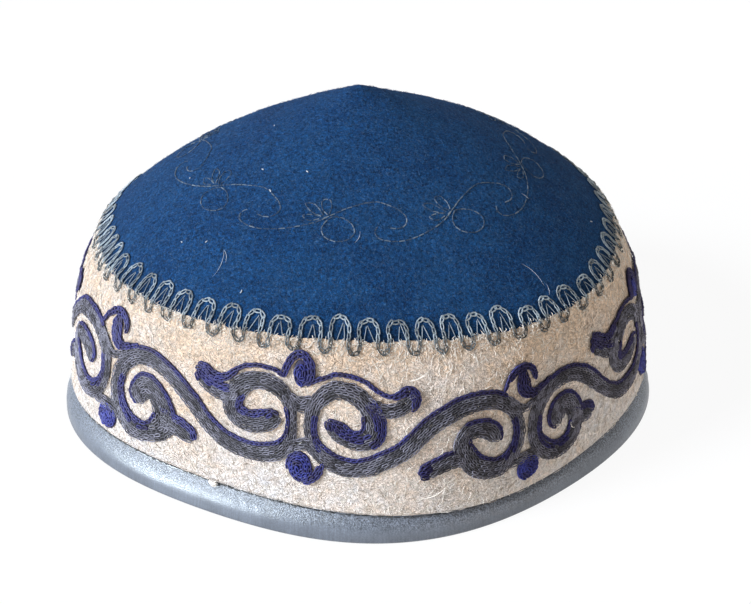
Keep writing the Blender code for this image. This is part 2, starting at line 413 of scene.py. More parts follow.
# The crown's vine, as (degrees from the unit's middle, reach): one unit of eight. A stem that curls
# down into a spiral, the stem under it, a ring, and three leaves.
VINE_LINES = (
    (
        (-1.5, 0.628), (1.5, 0.612), (5.0, 0.592), (10.0, 0.573), (14.5, 0.561), (19.0, 0.559),
        (23.0, 0.574), (26.5, 0.595), (28.2, 0.620), (27.3, 0.645), (24.5, 0.658), (21.5, 0.655),
    ),
    (
        (17.6, 0.648), (16.3, 0.668), (17.3, 0.689), (20.5, 0.700), (25.0, 0.701), (29.5, 0.691),
        (34.0, 0.676), (38.0, 0.660), (42.0, 0.640), (45.0, 0.622),
    ),
    (
        (1.8, 0.618), (5.5, 0.622), (8.8, 0.645), (9.6, 0.670), (7.6, 0.697), (3.8, 0.706),
        (0.3, 0.693), (-1.2, 0.668), (-0.4, 0.640), (1.8, 0.618),
    ),
    ((0.0, 0.615), (-2.6, 0.590), (-3.0, 0.560), (-0.6, 0.556), (0.8, 0.585), (0.4, 0.612)),
    ((-2.0, 0.622), (-6.5, 0.605), (-9.0, 0.580), (-6.0, 0.578), (-3.0, 0.600), (-1.5, 0.618)),
    ((-2.5, 0.630), (-6.5, 0.640), (-8.5, 0.628), (-5.5, 0.618), (-2.5, 0.622)),
)

# Lint on the crown: (degrees round, reach, length in millimetres, heading in degrees), where 0 heads
# along the cap and 90 down it.
LINT = (
    (-71.5, 0.330, 0.7, 20.0),
    (-45.5, 0.495, 0.9, 0.0),
    (-25.7, 0.454, 0.9, 10.0),
    (-35.6, 0.560, 1.1, 20.0),
    (-70.5, 0.663, 0.7, 0.0),
    (-50.3, 0.828, 0.8, 0.0),
    (-43.1, 0.791, 0.8, 100.0),
    (-27.7, 0.898, 1.0, 80.0),
    (78.7, 0.896, 0.9, 30.0),
    (-37.0, 0.799, 8.0, 67.0),
    (-37.0, 0.799, 4.2, 38.0),
    (45.9, 0.842, 7.6, 57.0),
    (48.8, 0.918, 3.2, 99.0),
    (64.6, 0.666, 2.6, 67.0),
    (0.6, 0.668, 3.9, 99.0),
)

# The height that the band's nap starts at, over the full height of the tape, in millimetres.
NAP_START = 11.0

# Where a tuft of the cream felt is caught in the tape's stitches: degrees round the cap and the
# height over the rim in millimetres.
CAUGHT_DEG = -30.4
CAUGHT_UP = 9.5

# Stray pale hairs on the band: (degrees round, up and length in millimetres, heading, bend in degrees).
BAND_HAIRS = (
    (9.8, 50.6, 5.6, 12.0, 30.0),
    (11.2, 15.2, 7.5, 12.0, 50.0),
    (48.1, 23.5, 4.0, -60.0, 120.0),
)


def sizes():
    return bpy.context.scene.doppa_sizes


def stitching():
    return bpy.context.scene.doppa_stitches


def wave_sum(table, angle):
    """Sum of cosine waves round the cap at the given angles."""
    return sum(wave.size * np.cos(wave.folds * (angle - np.radians(wave.crest_deg))) for wave in table)


def ease(share):
    """Smooth step: 3 t squared minus 2 t cubed, held at 0 and 1 outside."""
    share = np.clip(share, 0.0, 1.0)
    return share * share * (3.0 - 2.0 * share)


def seam_radius(angle):
    size = sizes()
    return size.seam_radius * (1.0 + wave_sum(SEAM_WAVES, angle)) + wave_sum(SEAM_SHIFT_WAVES, angle)


def seam_height(angle):
    return sizes().seam_height + wave_sum(SEAM_HEIGHT_WAVES, angle)


def rim_middle():
    """The middle of the rim's outline as drawn by band_radius, which the origin stands at."""
    angle = np.linspace(0.0, 2.0 * np.pi, 721)
    radius = band_radius(angle, np.full_like(angle, 0.018))
    x, y = radius * np.sin(angle), -radius * np.cos(angle)
    return 0.5 * (x.min() + x.max()), 0.5 * (y.min() + y.max())


def around(angle, radius, height):
    """Points at an angle, a radius and a height, with the origin in the middle of the rim."""
    middle_x, middle_y = rim_middle()
    return np.stack([radius * np.sin(angle) - middle_x, -radius * np.cos(angle) - middle_y, height], axis=-1)


def band_radius(angle, rise):
    """The rim's outline turning into the seam's by a power of the rise, less a half sine of hollow."""
    turn = np.maximum(rise, 0.0) ** BAND_TURN_POWER
    rim = sizes().rim_radius * (1.0 + wave_sum(RIM_WAVES, angle))
    hollow = (BAND_HOLLOW - wave_sum(HOLLOW_WAVES, angle)) * np.sin(np.pi * rise)
    return rim * (1.0 - turn) + seam_radius(angle) * turn - hollow


def band_face(angle, rise):
    """Points of the band's outer face."""
    return around(angle, band_radius(angle, rise), seam_height(angle) * rise)


def crown_face(angle, reach):
    """Points of the crown: a mix of a round, a flat-topped and a conical section, with a small point."""
    size = sizes()
    inside = 1.0 - reach**2
    section = ROUND_SHARE * inside + FLAT_TOP_SHARE * (1.0 - reach**4) + CONE_SHARE * (1.0 - reach)
    height = seam_height(angle) * reach**2 + size.seam_height * inside + size.dome_height * section
    height = height + POINT_HEIGHT * np.exp(-((reach / POINT_REACH) ** 2))
    height = height + wave_sum(DOME_TILT_WAVES, angle) * reach * inside
    height = height + wave_sum(DOME_SADDLE_WAVES, angle) * reach**2 * inside
    points = around(angle, seam_radius(angle) * reach, height)
    points[..., 0] += APEX_SHIFT_X * (1.0 - reach)
    return points


def unit(vectors):
    """The vectors at length one."""
    return vectors / np.maximum(np.linalg.norm(vectors, axis=-1, keepdims=True), 1e-12)


def outward(face, angle, place):
    """Outward directions of a face, the cross product of its slopes round the cap and up it."""
    step = 1e-3
    upwards = step if face is band_face else -step
    round_slope = face(angle + step, place) - face(angle - step, place)
    up_slope = face(angle, place + upwards) - face(angle, place - upwards)
    return unit(np.cross(round_slope, up_slope))


def felt_relief(points):
    """Heights of the felt's lumps and dents: three sizes of smooth noise."""
    return (
        0.00020 * soft_noise(points, 0.012, 3)
        + 0.00012 * soft_noise(points, 0.0045, 4)
        + 0.00008 * soft_noise(points, 0.0018, 5)
    )


def felt_skin(face, angle, place):
    """Points of a felt's surface and its outward directions. The lumps fade out at the tape and at
    the seam, and the band's last 4 mm below the seam are a little thicker."""
    points, away = face(angle, place), outward(face, angle, place)
    lumps = felt_relief(points) * ease((1.0 - place) / 0.03)
    if face is band_face:
        lumps = 1.4 * lumps * ease((place - 0.17) / 0.06) + SEAM_LIP * ease((place - 0.93) / 0.06)
    return points + away * lumps[..., None], away


def seam_angle(along):
    """The angle of a place along the seam in millimetres."""
    return along / (sizes().seam_radius / MM)


def felt_drop(angle):
    """How far below the seam the band's felt ends, in millimetres: it hangs lowest at the left front."""
    return 0.30 + 1.1 * np.exp(7.8 * (np.cos(angle - np.radians(-62.0)) - 1.0))


def lay_on_band(plane, middle_deg=0.0):
    """Lay plane points on the band: along turns the angle, up is the rise, and lift goes outwards."""
    angle = np.radians(middle_deg) + plane[..., 0] * MM / ORNAMENT_RADIUS
    rise = plane[..., 1] * MM / sizes().seam_height
    points, away = felt_skin(band_face, angle, rise)
    return points + away * (plane[..., 2:] * MM)


def lay_on_seam(plane):
    """Lay plane points over the seam: up is counted from the seam, onto the crown above it and down
    the band below it, and the outward direction turns over 4 mm from one face's to the other's."""
    size = sizes()
    angle = plane[..., 0] * MM / size.seam_radius
    slant = np.hypot(size.seam_radius, size.dome_height)
    up = plane[..., 1] * MM
    crown, crown_away = felt_skin(crown_face, angle, 1.0 - np.maximum(up, 0.0) / slant)
    band, band_away = felt_skin(band_face, angle, 1.0 + np.minimum(up, 0.0) / size.seam_height)
    lip = SEAM_LIP * (1.0 - ease(up / MM))[..., None]
    points = np.where((up > 0.0)[..., None], crown + crown_away * lip, band)
    share = ease(up / (4.0 * MM) + 0.5)[..., None]
    away = unit(crown_away * share + band_away * (1.0 - share))
    return points + away * (plane[..., 2:] * MM)


def lay_on_crown(plane):
    """Lay (degrees round, reach, lift in millimetres) points on the crown."""
    points, away = felt_skin(crown_face, np.radians(plane[..., 0]), plane[..., 1])
    return points + away * (plane[..., 2:] * MM)


def lay_from_above(plane):
    """Lay points of the crown's plan, (x, y, lift) in millimetres from its apex, on the crown."""
    x, y, lift = plane[..., 0] / CROWN_MEAN_MM, plane[..., 1] / CROWN_MEAN_MM, plane[..., 2]
    degrees, reach = np.degrees(np.arctan2(x, -y)), np.minimum(np.hypot(x, y), 0.995)
    return lay_on_crown(np.stack([degrees, reach, lift], axis=-1))


def soft_noise(points, scale, seed):
    """Smooth noise from -1 to 1: random values on a cubic lattice, eased between its corners."""
    lattice = np.random.default_rng(seed).uniform(-1.0, 1.0, (32, 32, 32))
    place = points / scale + 1000.0
    base = np.floor(place).astype(int)
    share = ease(place - base)
    total = np.zeros(points.shape[:-1])
    for corner in np.ndindex(2, 2, 2):
        index = (base + corner) % 32
        weight = np.prod(np.where(np.array(corner) == 1, share, 1.0 - share), axis=-1)
        total += lattice[index[..., 0], index[..., 1], index[..., 2]] * weight
    return total


def distances(points):
    """How far along a line each of its points lies."""
    return np.concatenate([[0.0], np.cumsum(np.linalg.norm(np.diff(points, axis=0), axis=1))])


def at_distances(line, place, spots):
    """Points of a line at some distances along it, where place holds those of its own points."""
    return np.stack([np.interp(spots, place, column) for column in line.T], axis=-1)


def steps_turning(turn, step):
    """How far lines of even steps go along and up while their headings turn."""
    return np.cumsum(np.cos(turn) * step, axis=1), np.cumsum(np.sin(turn) * step, axis=1)


def smooth_line(points, step):
    """A cubic Hermite curve through the points, sampled about every step along it."""
    points = np.array(points, float)
    chord = distances(points[:, :2])
    slope = np.gradient(points, chord, axis=0)
    place = np.linspace(0.0, chord[-1], max(4, int(chord[-1] / step) + 1))
    start = np.clip(np.searchsorted(chord, place, side="right") - 1, 0, len(chord) - 2)
    gap = (chord[start + 1] - chord[start])[:, None]
    t = (place - chord[start])[:, None] / gap
    low, high = points[start], points[start + 1]
    hermite = (2 * t**3 - 3 * t**2 + 1) * low + (t**3 - 2 * t**2 + t) * gap * slope[start]
    return hermite + (3 * t**2 - 2 * t**3) * high + (t**3 - t**2) * gap * slope[start + 1]


def turned_left(heading):
    """Plane headings turned a quarter turn to the left."""
    return np.stack([-heading[..., 1], heading[..., 0]], axis=-1)


def tubes(path, across_radius, up_radius, sides, closed):
    """Tubes along plane paths of shape (count, stations, 3). Each section is an ellipse: its width is
    across the path and its height is the lift. Closed ones are rings, and open ones get end caps."""
    if closed:
        ahead = np.roll(path, -1, axis=1) - np.roll(path, 1, axis=1)
    else:
        ahead = np.gradient(path, axis=1)
    across = turned_left(unit(ahead[..., :2]))
    turn = 2.0 * np.pi * np.arange(sides) / sides + 0.5 * np.pi
    count, stations = path.shape[:2]
    across_radius = np.broadcast_to(across_radius, (count, stations))[..., None]
    up_radius = np.broadcast_to(up_radius, (count, stations))[..., None]
    points = np.repeat(path[:, :, None, :], sides, axis=2)
    points[..., :2] += (across_radius * np.cos(turn))[..., None] * across[:, :, None, :]
    points[..., 2] += up_radius * np.sin(turn)
    index = np.arange(count * stations * sides).reshape(count, stations, sides)
    after = np.roll(index, -1, axis=1)
    if not closed:
        index, after = index[:, :-1], after[:, :-1]
    quads = np.stack([index, after, np.roll(after, -1, axis=2), np.roll(index, -1, axis=2)], axis=-1)
    faces = quads.reshape(-1, 4).tolist()
    if not closed:
        whole = np.arange(count * stations * sides).reshape(count, stations, sides)
        faces += whole[:, 0, ::-1].tolist() + whole[:, -1, :].tolist()
    return points, faces


def each(values, points):
    """Values of tubes or rings, one for each, given to all their points."""
    return np.broadcast_to(values.reshape(-1, 1, 1), points.shape[:3])


def chain_links(centres, heading, length, width, tilt):
    """Rings of chain stitch: a teardrop round each centre, narrow where it starts and wide where it
    ends. Along is minus the cosine, across the sine, and each ring rises by tilt to its far end."""
    t = 2.0 * np.pi * np.arange(8) / 8
    along = -0.5 * length * np.cos(t)
    across = 0.5 * width * np.sin(t) * (1.0 - 0.35 * np.cos(t))
    lift = tilt * 0.5 * (1.0 - np.cos(t))
    left = turned_left(heading)
    plane = centres[:, None, :2] + along[:, None] * heading[:, None] + across[:, None] * left[:, None]
    return np.concatenate([plane, (centres[:, None, 2:] + lift[:, None])], axis=-1)


def row_of_links(line, spacing, length, width, tilt):
    """Chain stitches at even spacing along a line of (along, up, lift) points."""
    place = distances(line[:, :2])
    count = int(place[-1] / spacing)
    if count < 1:
        return np.zeros((0, 8, 3))
    middle = (np.arange(count) + 0.5) * place[-1] / count
    ahead, behind = (at_distances(line[:, :2], place, middle + apart) for apart in (0.4, -0.4))
    centres = at_distances(line, place, middle)
    return chain_links(centres, unit(ahead - behind), length, width, tilt)


def stretches(mask, shortest):
    """Start and end of each run of true values that is long enough."""
    edges = np.flatnonzero(np.diff(np.concatenate([[0], mask.astype(int), [0]])))
    return [(a, b) for a, b in zip(edges[::2], edges[1::2]) if b - a >= shortest]


def rows_in_spans(spans, share):
    """How many rows the spans make blue at each share of the stroke's length."""
    count = np.zeros_like(share)
    for low, high, rows in spans:
        count = np.where((share >= low) & (share <= high), rows, count)
    return count


def stroke_rows(stroke):
    """The centre line of a ribbon, and its rows as (line, is blue). Two rows follow the edges, and
    the others keep to a fixed distance from the outer edge and end where they meet the inner one."""
    pitch = stitching().row_pitch / MM
    line = smooth_line(stroke.points, 0.4)
    share = np.linspace(0.0, 1.0, len(line))
    half = line[:, 2]
    inner = turned_left(unit(np.gradient(line[:, :2], axis=0))) * stroke.turn
    edge = np.maximum(half - 0.5 * pitch, 0.0)
    offsets = [(-edge, half > 0.3 * pitch), (edge, edge > 0.3 * pitch)]
    for step in range(1, int(np.ceil(2.0 * half.max() / pitch)) + 1):
        offsets.append((-edge + step * pitch, -edge + step * pitch < edge - 0.55 * pitch))
    inner_rows = rows_in_spans(stroke.inner_blue, share)
    outer_rows = rows_in_spans(stroke.outer_blue, share)
    rows = []
    for offset, keep in offsets:
        lift = 0.42 * (1.0 - (np.abs(offset) / np.maximum(half, 0.1)) ** 4) + 0.20
        row = np.column_stack([line[:, :2] + inner * offset[:, None], lift])
        blue = (edge - offset < (inner_rows - 0.45) * pitch) | (edge + offset < (outer_rows - 0.45) * pitch)
        blue = blue | (stroke.thread == "blue")
        for is_blue in (False, True):
            rows += [(row[a:b], is_blue) for a, b in stretches(keep & (blue == is_blue), 3)]
    return line, rows


def tilted(bud, x, y):
    """Points of a bud's own plane, turned by its tilt and moved to its centre."""
    tilt = np.radians(bud.tilt_deg)
    return bud.along + x * np.cos(tilt) - y * np.sin(tilt), bud.up + x * np.sin(tilt) + y * np.cos(tilt)


def bud_rows(bud):
    """A bud's stitches: a spiral from its centre to its edge, squeezed to its half sizes."""
    pitch = stitching().row_pitch / MM
    turns = max(1.0, min(bud.half_width, bud.half_height) / pitch)
    t = np.linspace(0.12, 1.0, int(70 * turns))
    spin = 2.0 * np.pi * turns * t
    reach = t * (1.0 - 0.5 * pitch / max(bud.half_width, bud.half_height))
    x, y = bud.half_width * reach * np.cos(spin), bud.half_height * reach * np.sin(spin)
    return np.column_stack([*tilted(bud, x, y), 0.20 + 0.60 * (1.0 - t**3)])


def bud_pad(bud):
    """The line and the half widths of the filling under a bud: an ellipse as a ribbon with round ends."""
    t = np.linspace(-1.0, 1.0, 15)
    line = np.column_stack([*tilted(bud, 0.0, bud.half_height * 0.96 * t), 0.10 + 0.0 * t])
    return line, np.maximum(bud.half_width * 0.9 * np.sqrt(1.0 - t**2), 0.05)


def faces_outward(points, faces):
    """The faces, turned round if together they hold a negative volume."""
    triangles = np.array([face[:3] for face in faces])
    rest = np.array([[face[0], face[2], face[3]] for face in faces if len(face) > 3])
    if len(rest):
        triangles = np.concatenate([triangles, rest])
    a, b, c = (points[triangles[:, corner]] for corner in range(3))
    if np.einsum("ij,ij->i", a, np.cross(b, c)).sum() < 0.0:
        return [face[::-1] for face in faces]
    return faces


def make_piece(name, points, faces, material, tone=None, plan=None):
    """Put points and faces into a mesh object that rides on the cap. tone is a value for each point,
    and plan is a pair of lengths in metres for each point, which become its UV map."""
    points = points.reshape(-1, 3)
    faces = faces_outward(points, faces)
    mesh = bpy.data.meshes.new(name)
    mesh.from_pydata(points.tolist(), [], faces)
    mesh.shade_smooth()
    if tone is not None:
        attribute = mesh.attributes.new("tone", "FLOAT", "POINT")
        attribute.data.foreach_set("value", np.asarray(tone, np.float32).ravel())
    if plan is not None:
        corner = np.empty(len(mesh.loops), np.int32)
        mesh.loops.foreach_get("vertex_index", corner)
        layer = mesh.uv_layers.new(name="plan")
        layer.data.foreach_set("uv", plan.reshape(-1, 2)[corner].astype(np.float32).ravel())
    mesh.materials.append(material)
    piece = bpy.data.objects.new(name, mesh)
    bpy.context.scene.collection.objects.link(piece)
    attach(piece, BODY)
    return piece


def make_threads(name, path, across_radius, up_radius, sides, lay, material, tone):
    """Open threads along plane paths as one piece, laid on the cap by lay, each with its own tone."""
    points, faces = tubes(path, across_radius, up_radius, sides, closed=False)
    make_piece(name, lay(points), faces, material, tone=each(tone, points))


def loft(rows, first_pole=None):
    """Faces that join rows of points of shape (rows, stations, 3) round the cap, and the last row to
    the first. Where first_pole is given, that row and the next each close with a pole instead."""
    count, stations = rows.shape[:2]
    index = np.arange(count * stations).reshape(count, stations)
    points = rows.reshape(-1, 3)
    pairs = [(row, (row + 1) % count) for row in range(count) if row != first_pole]
    faces = []
    for low, high in pairs:
        corners = [index[low], np.roll(index[low], -1), np.roll(index[high], -1), index[high]]
        faces += np.stack(corners, axis=-1).tolist()
    if first_pole is not None:
        for row, flip in ((first_pole, False), (first_pole + 1, True)):
            pole = rows[row].mean(axis=0, keepdims=True)
            points = np.concatenate([points, pole])
            ends = (index[row], np.roll(index[row], -1))
            ends = ends[::-1] if flip else ends
            fan = np.stack([ends[0], ends[1], np.full(stations, len(points) - 1)], axis=-1)
            faces += fan.tolist()
    return points, faces


def round_angles(stations):
    return 2.0 * np.pi * np.arange(stations) / stations


def new_material(name, colour, roughness, inputs):
    """A material with a Principled shader of the given inputs, and its node tree and shader."""
    material = bpy.data.materials.new(name)
    material.use_nodes = True
    tree = material.node_tree
    shader = tree.nodes["Principled BSDF"]
    for key, value in {"Base Color": four(colour), "Roughness": roughness, **inputs}.items():
        shader.inputs[key].default_value = value
    return material, tree, shader


def add_node(tree, kind, inputs=None, **settings):
    """A node with its settings, and its input sockets filled by name with values or linked outputs."""
    node = tree.nodes.new(kind)
    for key, value in settings.items():
        setattr(node, key, value)
    for key, value in (inputs or {}).items():
        if isinstance(value, bpy.types.NodeSocket):
            tree.links.new(value, node.inputs[key])
        else:
            node.inputs[key].default_value = value
    return node


def noise_value(tree, place, scale, detail=4.0, roughness=0.6, distortion=0.0):
    """Noise from 0 to 1 on the given coordinates."""
    inputs = {"Vector": place, "Scale": scale, "Detail": detail}
    inputs |= {"Roughness": roughness, "Distortion": distortion}
    return add_node(tree, "ShaderNodeTexNoise", inputs).outputs["Fac"]


def spread(tree, value, low, high, to_low=0.0, to_high=1.0):
    """The value with low to high mapped to another range, and held at its ends."""
    inputs = {"Value": value, "From Min": low, "From Max": high, "To Min": to_low, "To Max": to_high}
    return add_node(tree, "ShaderNodeMapRange", inputs).outputs["Result"]


def calculate(tree, operation, first, second):
    node = add_node(tree, "ShaderNodeMath", {0: first, 1: second}, operation=operation)
    return node.outputs[0]


def times(tree, first, second):
    return calculate(tree, "MULTIPLY", first, second)


def object_place(tree):
    """The object's own coordinates."""
    return add_node(tree, "ShaderNodeTexCoord").outputs["Object"]


def one_axis(tree, vector, axis):
    return add_node(tree, "ShaderNodeSeparateXYZ", {"Vector": vector}).outputs[axis]


def tone_value(tree):
    """The tone that the mesh holds for each point."""
    return add_node(tree, "ShaderNodeAttribute", attribute_name="tone").outputs["Fac"]


def brightened(tree, colour, value):
    """The colour made lighter or darker by a factor."""
    return add_node(tree, "ShaderNodeHueSaturation", {"Color": colour, "Value": value}).outputs["Color"]


def mix_colours(tree, share, first, second):
    """One colour turning into another by a share from 0 to 1."""
    node = add_node(tree, "ShaderNodeMix", {0: share, 6: first, 7: second}, data_type="RGBA")
    return node.outputs[2]


def shifted(tree, place, offset, scale=(1.0, 1.0, 1.0)):
    """The coordinates moved and stretched."""
    inputs = {"Vector": place, "Location": offset, "Scale": scale}
    return add_node(tree, "ShaderNodeMapping", inputs).outputs["Vector"]


def strand_lines(tree, place, scale, width, offset):
    """Thin winding lines like loose fibres: the narrow stretches where noise passes its middle value."""
    value = noise_value(tree, shifted(tree, place, offset), scale, 1.0, 0.5, 1.2)
    distance = calculate(tree, "ABSOLUTE", calculate(tree, "SUBTRACT", value, 0.5), 0.0)
    return spread(tree, distance, 0.0, width, 1.0, 0.0)


def bumped(tree, shader, height, distance, strength=1.0):
    """Drive the shader's normal from a height."""
    node = add_node(tree, "ShaderNodeBump", {"Height": height, "Distance": distance, "Strength": strength})
    tree.links.new(node.outputs["Normal"], shader.inputs["Normal"])


def four(colour):
    return (*colour, 1.0)


def felt_material(name, light, shade, felt):
    """Felt: two tones in clouds and small mottles, with more of the second higher up as painted warm light,
    fine grain, winding fibres, specks, and a nap in the bump. Its tone attribute darkens it as painted shade,
    near the seam."""
    nap_scale, contrast = felt.nap_scale, felt.contrast
    inputs = {"Sheen Weight": 0.02, "Sheen Roughness": 0.6, "Specular IOR Level": 0.04}
    material, tree, shader = new_material(name, light, 0.95, inputs)
    place = object_place(tree)
    clouds = spread(tree, noise_value(tree, place, 45.0, 5.0, 0.65), 0.35, 0.65, -0.05, 0.45)
    mottles = spread(tree, noise_value(tree, place, nap_scale * 0.45, 3.0, 0.6), 0.36, 0.64, 0.0, 0.3)
    # Painted warm light: higher up, the felt turns towards its second, warmer tone.
    high = spread(tree, one_axis(tree, place, "Z"), 0.012, 0.062, 0.0, felt.yellowed)
    share = calculate(tree, "ADD", calculate(tree, "ADD", clouds, mottles), high)
    colour = mix_colours(tree, share, four(light), four(shade))
    grain = noise_value(tree, place, nap_scale, 6.0, 0.75)
    flecks = noise_value(tree, shifted(tree, place, (2.0, 6.0, 3.0)), nap_scale * 2.2, 2.0, 0.6)
    coarse = spread(tree, grain, 0.34, 0.66, 1.0 - contrast, 1.0 + contrast)
    fine = spread(tree, flecks, 0.34, 0.66, 1.0 - 0.6 * contrast, 1.0 + 0.6 * contrast)
    colour = brightened(tree, colour, times(tree, coarse, fine))
    lines = [
        strand_lines(tree, place, nap_scale * 0.42, 0.022, (0.3, 0.1, 0.7)),
        strand_lines(tree, place, nap_scale * 0.30, 0.016, (1.9, 0.5, 0.2)),
        strand_lines(tree, place, nap_scale * 0.55, 0.030, (0.8, 2.1, 1.4)),
    ]
    fibres = calculate(tree, "MAXIMUM", calculate(tree, "MAXIMUM", lines[0], lines[1]), lines[2])
    patches = noise_value(tree, shifted(tree, place, (3.0, 1.0, 2.0)), 160.0, 3.0)
    share = times(tree, fibres, spread(tree, patches, 0.38, 0.60))
    share = times(tree, share, felt.fibre_share)
    colour = mix_colours(tree, share, colour, four(felt.fibre))
    dots = noise_value(tree, shifted(tree, place, (5.0, 4.0, 1.0)), nap_scale * 1.4, 2.0)
    share = times(tree, spread(tree, dots, 0.60, 0.70), felt.speck_share)
    colour = mix_colours(tree, share, colour, four(felt.speck))
    # The tone attribute darkens the felt as painted shade.
    colour = brightened(tree, colour, spread(tree, tone_value(tree), 0.0, 1.0, 0.50, 1.0))
    tree.links.new(colour, shader.inputs["Base Color"])
    height = calculate(tree, "ADD", times(tree, fibres, 0.45), grain)
    bumped(tree, shader, height, felt.bump)
    return material


def thread_material(name, colour, dark_colour, roughness):
    """Thread: each stitch has its own tone between two colours, with fine strands in the bump."""
    inputs = {"Sheen Weight": 0.05, "Specular IOR Level": 0.3}
    material, tree, shader = new_material(name, colour, roughness, inputs)
    strands = noise_value(tree, object_place(tree), 2600.0, 2.0, 0.6)
    varied = calculate(tree, "ADD", tone_value(tree), spread(tree, strands, 0.3, 0.7, -0.28, 0.28))
    tree.links.new(mix_colours(tree, varied, four(dark_colour), four(colour)), shader.inputs["Base Color"])
    bumped(tree, shader, strands, 0.0001)
    return material


def satin_material(colour):
    """Satin: glittering along its upper half and smooth below, with fine threads across it. Its glints are in
    its bump and roughness, and also painted into its colour. Painted shade darkens its upper and lower edges."""
    material, tree, shader = new_material("satin_tape", colour, 0.42, {"Specular IOR Level": 0.6})
    plan = add_node(tree, "ShaderNodeUVMap", uv_map="plan").outputs["UV"]
    across = one_axis(tree, plan, "Y")
    place = object_place(tree)
    patches = noise_value(tree, place, 90.0, 3.0)
    value = spread(tree, patches, 0.35, 0.65, 0.88, 1.12)
    # Painted shade: darker along the upper edge under the felt, and towards the folded lower edge.
    edge = spread(tree, across, 0.0, 0.0015, 0.42, 1.0)
    painted_fold_shade = spread(tree, across, 0.0060, 0.0110, 1.0, 0.70)
    value = times(tree, value, times(tree, edge, painted_fold_shade))
    glint = noise_value(tree, place, 2300.0, 2.0, 0.7)
    # Painted glints: the colour flickers lighter and darker along the upper half, and the same noise feeds the
    # bump.
    painted_glints_and_bump = spread(tree, across, 0.0030, 0.0065, 0.80, 0.15)
    painted_glints_and_bump = times(tree, spread(tree, glint, 0.35, 0.65, -1.0, 1.0), painted_glints_and_bump)
    value = times(tree, value, calculate(tree, "ADD", painted_glints_and_bump, 1.0))
    stretched = shifted(tree, plan, (0.0, 0.0, 0.0), (1500.0, 130.0, 1.0))
    threads = noise_value(tree, stretched, 1.0, 2.0, 0.6)
    value = times(tree, value, spread(tree, threads, 0.30, 0.70, 0.84, 1.16))
    tree.links.new(brightened(tree, four(colour), value), shader.inputs["Base Color"])
    tree.links.new(spread(tree, glint, 0.3, 0.7, 0.46, 0.28), shader.inputs["Roughness"])
    height = calculate(tree, "ADD", times(tree, threads, 0.5), painted_glints_and_bump)
    bumped(tree, shader, height, 0.00004)
    return material


def length_property(name, description, default):
    return FloatProperty(name=name, description=description, default=default, unit="LENGTH")


def count_property(name, description, default):
    return IntProperty(name=name, description=description, default=default, min=0)


def colour_property(name, description, default):
    return FloatVectorProperty(name=name, description=description, default=default, subtype="COLOR", size=3)


class DoppaSizes(bpy.types.PropertyGroup):
    """Real sizes of the cap."""

    rim_radius: length_property("Rim radius", "Mean outer radius of the rim", 0.0907)
    seam_radius: length_property("Seam radius", "Mean radius of the seam of crown and band", 0.0799)
    seam_height: length_property("Seam height", "Mean height of that seam over the rim", 0.0601)
    dome_height: length_property("Dome height", "Height of the crown over the seam", 0.0455)
    felt_thickness: length_property("Felt thickness", "Thickness of both felts", 0.0025)
    tape_thickness: length_property("Tape thickness", "Thickness of the folded satin tape", 0.0010)
    binding_height: length_property("Binding height", "Height of the tape", round(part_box("binding")[1].z, 5))


class DoppaStitches(bpy.types.PropertyGroup):
    """Sizes and counts of the stitches and the nap."""

    row_pitch: length_property("Row pitch", "Distance between rows of chain stitch", 0.00122)
    stitch_length: length_property("Stitch length", "Length of a chain stitch", 0.0025)
    stitch_width: length_property("Stitch width", "Width between the strands of a chain stitch", 0.00078)
    thread_radius: length_property("Thread radius", "Radius of the embroidery thread", 0.00021)
    blue_width: length_property("Blue width", "Width between the strands of a blue stitch", 0.00088)
    blue_radius: length_property("Blue radius", "Radius of the blue thread", 0.00033)
    loop_height: length_property("Loop height", "Height of the back loops above the seam", 0.0050)
    loop_depth: length_property("Loop depth", "Depth of the small loops below the seam", 0.0027)
    tape_stitches: count_property("Tape stitches", "Stitches along the tape's upper edge", 230)
    band_fibres: count_property("Band fibres", "Loose fibres on the band", 7300)
    crown_fibres: count_property("Crown fibres", "Loose fibres on the crown", 5000)
    edge_tufts: count_property("Edge tufts", "Fibres along the band's upper edge", 4000)


class DoppaColours(bpy.types.PropertyGroup):
    """Colours of the felts, the satin and the threads."""

    crown: colour_property("Crown", "Blue felt", (0.0098, 0.058, 0.162))
    crown_shade: colour_property("Crown shade", "Darker blue felt", (0.0038, 0.027, 0.096))
    band: colour_property("Band", "Cream felt", (0.785, 0.77, 0.775))
    band_shade: colour_property("Band shade", "Warmer cream felt", (0.78, 0.595, 0.44))
    satin: colour_property("Satin", "Binding tape", (0.122, 0.142, 0.176))
    grey_thread: colour_property("Grey thread", "Scroll embroidery", (0.262, 0.258, 0.322))
    blue_thread: colour_property("Blue thread", "Edging and buds", (0.040, 0.050, 0.300))
    trim_thread: colour_property("Trim thread", "Seam loops", (0.36, 0.43, 0.48))


class DOPPA_OT_stage(bpy.types.Operator):
    """Make the floor, the lights and the camera"""

    bl_idname = "doppa.stage"
    bl_label = "Stage"

    def execute(self, context):
        scene = context.scene
        floor_mesh = bpy.data.meshes.new("floor")
        signs = ((-1, -1), (1, -1), (1, 1), (-1, 1))
        corners = [(x * FLOOR_HALF, y * FLOOR_HALF, 0.0) for x, y in signs]
        floor_mesh.from_pydata(corners, [], [(0, 1, 2, 3)])
        glow = {"Specular IOR Level": 0.0, "Emission Color": WHITE, "Emission Strength": FLOOR_GLOW}
        floor_mesh.materials.append(new_material("floor", (0.08, 0.08, 0.08), 0.9, glow)[0])
        floor = bpy.data.objects.new("floor", floor_mesh)
        scene.collection.objects.link(floor)
        add_world(scene)
        for sun in SUNS:
            add_sun(scene, sun)
        scene.camera = photo_camera(scene)
        scene.view_settings.view_transform = "Standard"
        return {"FINISHED"}


